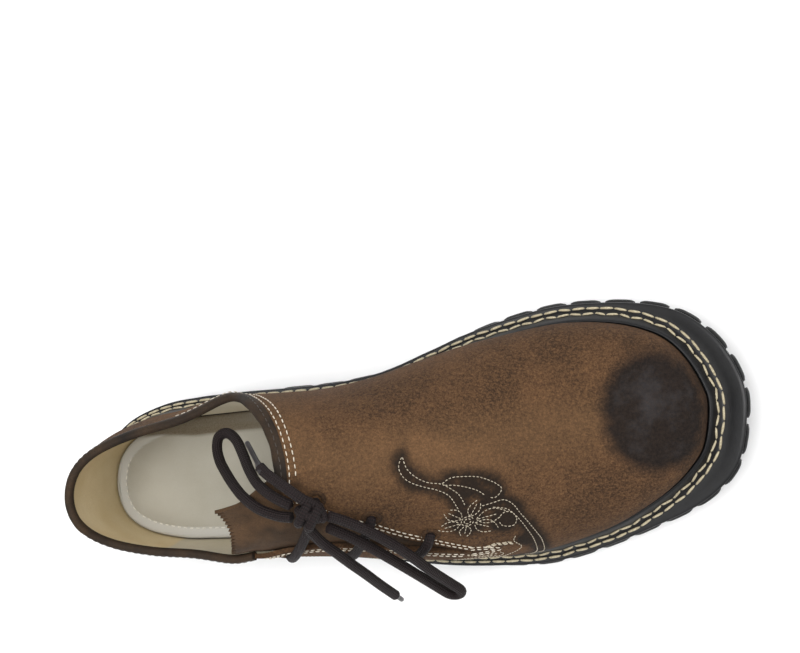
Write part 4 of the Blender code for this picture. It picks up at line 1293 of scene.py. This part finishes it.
def build_midsole(finish):
    """Rubber band between outsole and welt, its edges eased."""
    top = WELT_THICK + CLEARANCE

    def width(inset):
        return lambda q: welt_width(q) - inset * MM

    def height(below):
        return lambda x: ledge(x) - top - below

    profile = ((1.6, MIDSOLE_THICK), (.9, MIDSOLE_THICK - .5 * MM),
               (.6, MIDSOLE_THICK - 1.3 * MM), (.4, 1.3 * MM), (.7, .5 * MM), (1.3, 0))
    made = plate_piece("midsole_band", [(width(i), height(b)) for i, b in profile], finish, across=4)
    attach(made, "root")
    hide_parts("midsole")


def insole_marks(points, margin):
    """Grey margin of the heel piece, and painted shade in the lining's olive along the medial wall."""
    def wall_gap(qs):
        wall = foot(qs) - outward(qs) * margin + SHIFT[:2]
        return np.array([gap_to(wall, p[:2]).min() for p in points])

    x = points[:, 0]
    grey = 1 - smooth(4.6 * MM, 5.2 * MM, wall_gap(np.arange(0, AROUND, .05)))
    # Painted shade: a strip along the medial wall, wider towards the front.
    reach = (1.0 + 7.4 * smooth(-.135, -.098, x)) * MM
    wall_shade = 1 - smooth(reach - .9 * MM, reach + .9 * MM, wall_gap(np.arange(0, 12, .05)))
    wall_shade = wall_shade * smooth(-.132, -.122, x) * (1 - .3 * smooth(-.09, -.04, x))
    return grey * (1 - smooth(-.075, -.045, x)), wall_shade


def build_insole(finish, thread):
    """Covered insole, dished under the heel and stitched round its heel piece."""
    margin = WALL + INSOLE_GAP

    def width(inset):
        return lambda q: -(margin + inset * MM) + 0 * q

    def height(up):
        return lambda x: ledge(x) - WELT_THICK + up

    def dish(across, along):
        return 1.1 * MM * sin(pi * across) * (1 - float(smooth(.5, .8, along)))

    levels = [(width(.6), height(0)), (width(0), height(.8 * MM)), (width(0), height(3.0 * MM)),
              (width(.5), height(3.7 * MM)), (width(1.3), height(INSOLE_THICK))]
    made = plate_piece("insole_cover", levels, finish, across=60, dish=dish)
    paint(made, *insole_marks(coordinates(made.data), margin))
    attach(made, "root")
    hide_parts("insole")
    qs = np.concatenate([np.arange(AROUND - 9, AROUND, .05), np.arange(0, 1.6, .05)])
    xy = foot(qs) - outward(qs) * (margin + 4.8 * MM)
    z = ledge(xy[:, 0]) - WELT_THICK + INSOLE_THICK - .35 * MM
    line = np.concatenate([xy, z[:, None]], 1) + SHIFT
    up = np.tile((0, 0, 1.0), (len(line), 1))
    stitches("insole_thread", [(line, up, INSOLE_SEAM)], thread)


def strand_path(route, middle, rounds=0):
    path = even(middle + curve_through(route) * MM, 1.0 * MM)[0]
    return even(eased(path, rounds), 1.0 * MM)[0] if rounds else path


# Places along an aglet, its last ones from the tip's far end, and the radii there
AGLET_START = (-3.0, -.5, 0, .6, 1.6, 3)
AGLET_RADII = (1.9, 1.9, 1.85, 1.6, 1.25, 1.12, 1.1, 1.1, .8)
BACK_AGLET_AHEAD = (-.47, .78, -.40)
# Shares of a bar's way over the throat, and heights over the leather in millimetres
BAR_SHARES = (0, .05, .15, .3, .5, .7, .85, .95, 1.0)
BAR_LIFTS = (-3.0, .6, 2.3, 2.6, 2.5, 2.6, 2.3, .6, -3.0)


def build_aglet(name, path, reach, plastic, ahead=None):
    """Plastic tip over the end of a lace, reaching so many millimetres past it."""
    ahead = unit(path[-1] - path[-6] if ahead is None else np.array(ahead))
    at = np.array((*AGLET_START, reach * .5, reach - .6, reach))
    line = path[-1] + ahead * at[:, None] * MM
    made = tube_mesh(name, line, np.array(AGLET_RADII) * MM, plastic, sides=14)
    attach(made, "root")
    return made


def build_laces(finish, plastic):
    """Bow, ends with their tips, and the bars through the eyelets."""
    middle = surface(AROUND - KNOT_FOLD, KNOT_SHARE, KNOT_LIFT)
    end_back, end_front = strand_path(END_BACK, middle), strand_path(END_FRONT, middle)
    knot = build_knot(middle, finish)
    back_tip = build_aglet("aglet_back", end_back, 13, plastic, BACK_AGLET_AHEAD)
    front_tip = build_aglet("aglet_front", end_front, 7, plastic)
    for name, path, node_name, far, extra in (
            ("bow_loop_back", strand_path(LOOP_BACK, middle), "lace_loop_back", "knot", [knot]),
            ("bow_loop_front", strand_path(LOOP_FRONT, middle, 3), "lace_loop_front", "knot", []),
            ("bow_end_back", end_back, "lace_end_back", "fitting", [back_tip]),
            ("bow_end_front", end_front, "lace_end_front", "fitting", [front_tip])):
        made = tube_mesh(name, path, LACE / 2, finish)
        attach(made, "root")
        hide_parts(node_name)
    for k, eyelet in enumerate(EYELETS, 1):
        (q0, t0), (q1, t1) = eyelet_places(eyelet)
        u, lift = np.array(BAR_SHARES), np.array(BAR_LIFTS) * MM
        line = surface(q0 + (q1 - q0) * u, t0 + (t1 - t0) * u, lift)
        path = even(curve_through(line), 1.0 * MM)[0]
        made = tube_mesh("bar_%d" % k, path, LACE / 2 * .94, finish)
        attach(made, "root")
        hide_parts("lace_bar_%d" % k)


# The knot's turns: axis, half width and height of the ring, place along the axis
KNOT_TURNS = [((.80, -.55, -.2), (6.6, 5.2), -2.0), ((.80, -.55, -.2), (6.4, 5.0), 2.3),
              ((.45, .85, .0), (5.6, 4.6), .3)]
TURN_SHARE = .72                # of those sizes that the lace's middle runs at
CORE_SHARE = .62                # of KNOT_SIZE


def build_knot(middle, finish):
    """Overhand wraps of the bow: a core and turns of lace over it."""
    turns = []
    a = np.linspace(0, 2 * pi, 40)[:, None]
    for axis, (wide, tall), offset in KNOT_TURNS:
        axis = unit(np.array(axis))
        side = unit(np.cross(axis, (0, 0, 1.0)))
        up = np.cross(side, axis)
        ring = (np.cos(a) * side * wide + np.sin(a) * up * tall) * MM * TURN_SHARE
        turns.append(tube_mesh("turn", middle + axis * offset * MM + ring, LACE / 2 * .96, finish,
                               sides=14, round_ends=False))
    core = bmesh.new()
    bmesh.ops.create_uvsphere(core, u_segments=20, v_segments=12, radius=1.0)
    for vert in core.verts:
        vert.co = [middle[k] + vert.co[k] * KNOT_SIZE[k] * CORE_SHARE * MM for k in range(3)]
    mesh = bpy.data.meshes.new("core")
    core.to_mesh(mesh)
    core.free()
    mesh.materials.append(finish)
    mesh.uv_layers.new(name="length")
    body = bpy.data.objects.new("core", mesh)
    bpy.context.scene.collection.objects.link(body)
    made = joined("bow_knot", turns + [body])
    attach(made, "root")
    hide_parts("lace_knot")
    return made


def joined(name, pieces):
    graph = bpy.context.evaluated_depsgraph_get()
    bm = bmesh.new()
    for piece in pieces:
        bm.from_mesh(piece.evaluated_get(graph).data)
    mesh = bpy.data.meshes.new(name)
    bm.to_mesh(mesh)
    bm.free()
    mesh.materials.append(pieces[0].data.materials[0])
    for piece in pieces:
        bpy.data.objects.remove(piece)
    mesh.shade_smooth()
    made = bpy.data.objects.new(name, mesh)
    bpy.context.scene.collection.objects.link(made)
    return made


def build_floor():
    made, _, shader = new_material("floor", .9)
    shader.inputs["Base Color"].default_value = (.86, .86, .86, 1)
    bpy.ops.mesh.primitive_plane_add(size=8)
    floor = bpy.context.object
    floor.name = "floor"
    floor.data.materials.append(made)


# Name, place, side and power of each light; all of them look at the shoe's middle
LIGHTS = [("overhead", (.05, .10, 1.6), .9, 25), ("key", (.25, .85, 1.15), 1.0, 6),
          ("fill", (-.9, -.8, 1.1), 1.4, 7), ("toe_rim", (1.2, -.1, .7), .8, 4)]
LIT_PLACE = (0, 0, .04)


def build_light():
    world = bpy.data.worlds.new("studio")
    world.use_nodes = True
    background = world.node_tree.nodes["Background"]
    background.inputs["Color"].default_value = (1, 1, 1, 1)
    background.inputs["Strength"].default_value = .50
    bpy.context.scene.world = world
    for name, place, size, power in LIGHTS:
        data = bpy.data.lights.new(name, 'AREA')
        data.shape = 'RECTANGLE'
        data.size = data.size_y = size
        data.energy = power
        lamp = bpy.data.objects.new(name, data)
        bpy.context.scene.collection.objects.link(lamp)
        lamp.location = place
        aim = Vector(LIT_PLACE) - Vector(place)
        lamp.rotation_euler = aim.to_track_quat('-Z', 'Y').to_euler()
    bpy.context.scene.view_settings.view_transform = 'Standard'


SENSOR, LENS = 36, 81           # millimetres
CAMERA_PLACE = (.2003, .0525, .8035)
CAMERA_TURN = (-.0265, .2486, -.1233)


def build_camera():
    data = bpy.data.cameras.new("camera")
    data.sensor_width = SENSOR
    data.lens = LENS
    data.clip_start = .01
    camera = bpy.data.objects.new("camera", data)
    bpy.context.scene.collection.objects.link(camera)
    camera.location = CAMERA_PLACE
    camera.rotation_euler = CAMERA_TURN
    bpy.context.scene.camera = camera


def main():
    build_camera()
    leather = nubuck()
    lining = lining_leather()
    strip = plain_leather("binding", colour(38, 28, 18), colour(60, 44, 28), colour(22, 16, 11), .8)
    suede = plain_leather("suede", colour(58, 42, 28), colour(88, 65, 43), colour(42, 31, 21), .95,
                          1900, .5)
    cover = insole_cover()
    cream = thread_material("cream_thread", colour(188, 178, 150), colour(146, 134, 108))
    white = thread_material("white_thread", colour(216, 208, 192), colour(170, 160, 142))
    fine_thread = thread_material("ornament_thread", colour(190, 180, 160), colour(140, 128, 108))
    dark_thread = thread_material("dark_thread", colour(44, 37, 32), colour(60, 52, 44))
    pale = thread_material("pale_thread", colour(222, 218, 206), colour(190, 186, 176))
    welt = rubber("welt_rubber", colour(9, 9, 10), colour(15, 15, 17), .45, .06)
    band = rubber("midsole_rubber", colour(14, 13, 12), colour(22, 20, 18), .66, .12)
    sole = rubber("sole_rubber", colour(8, 8, 9), colour(14, 15, 16), .70, .10)
    cord = braid()
    plastic = smooth_plastic()

    build_laces(cord, plastic)
    build_upper(leather, lining)
    build_binding(strip, white, dark_thread)
    build_throat_thread(white)
    build_ornament(fine_thread)
    build_eyelets(leather)
    build_tongue(suede)
    build_stay(leather, white)
    build_welt(welt, cream)
    build_midsole(band)
    build_lug_sides(sole)
    build_insole(cover, pale)
    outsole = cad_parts["outsole"]
    outsole.data.materials.clear()
    outsole.data.materials.append(sole)
    build_floor()
    build_light()


main()
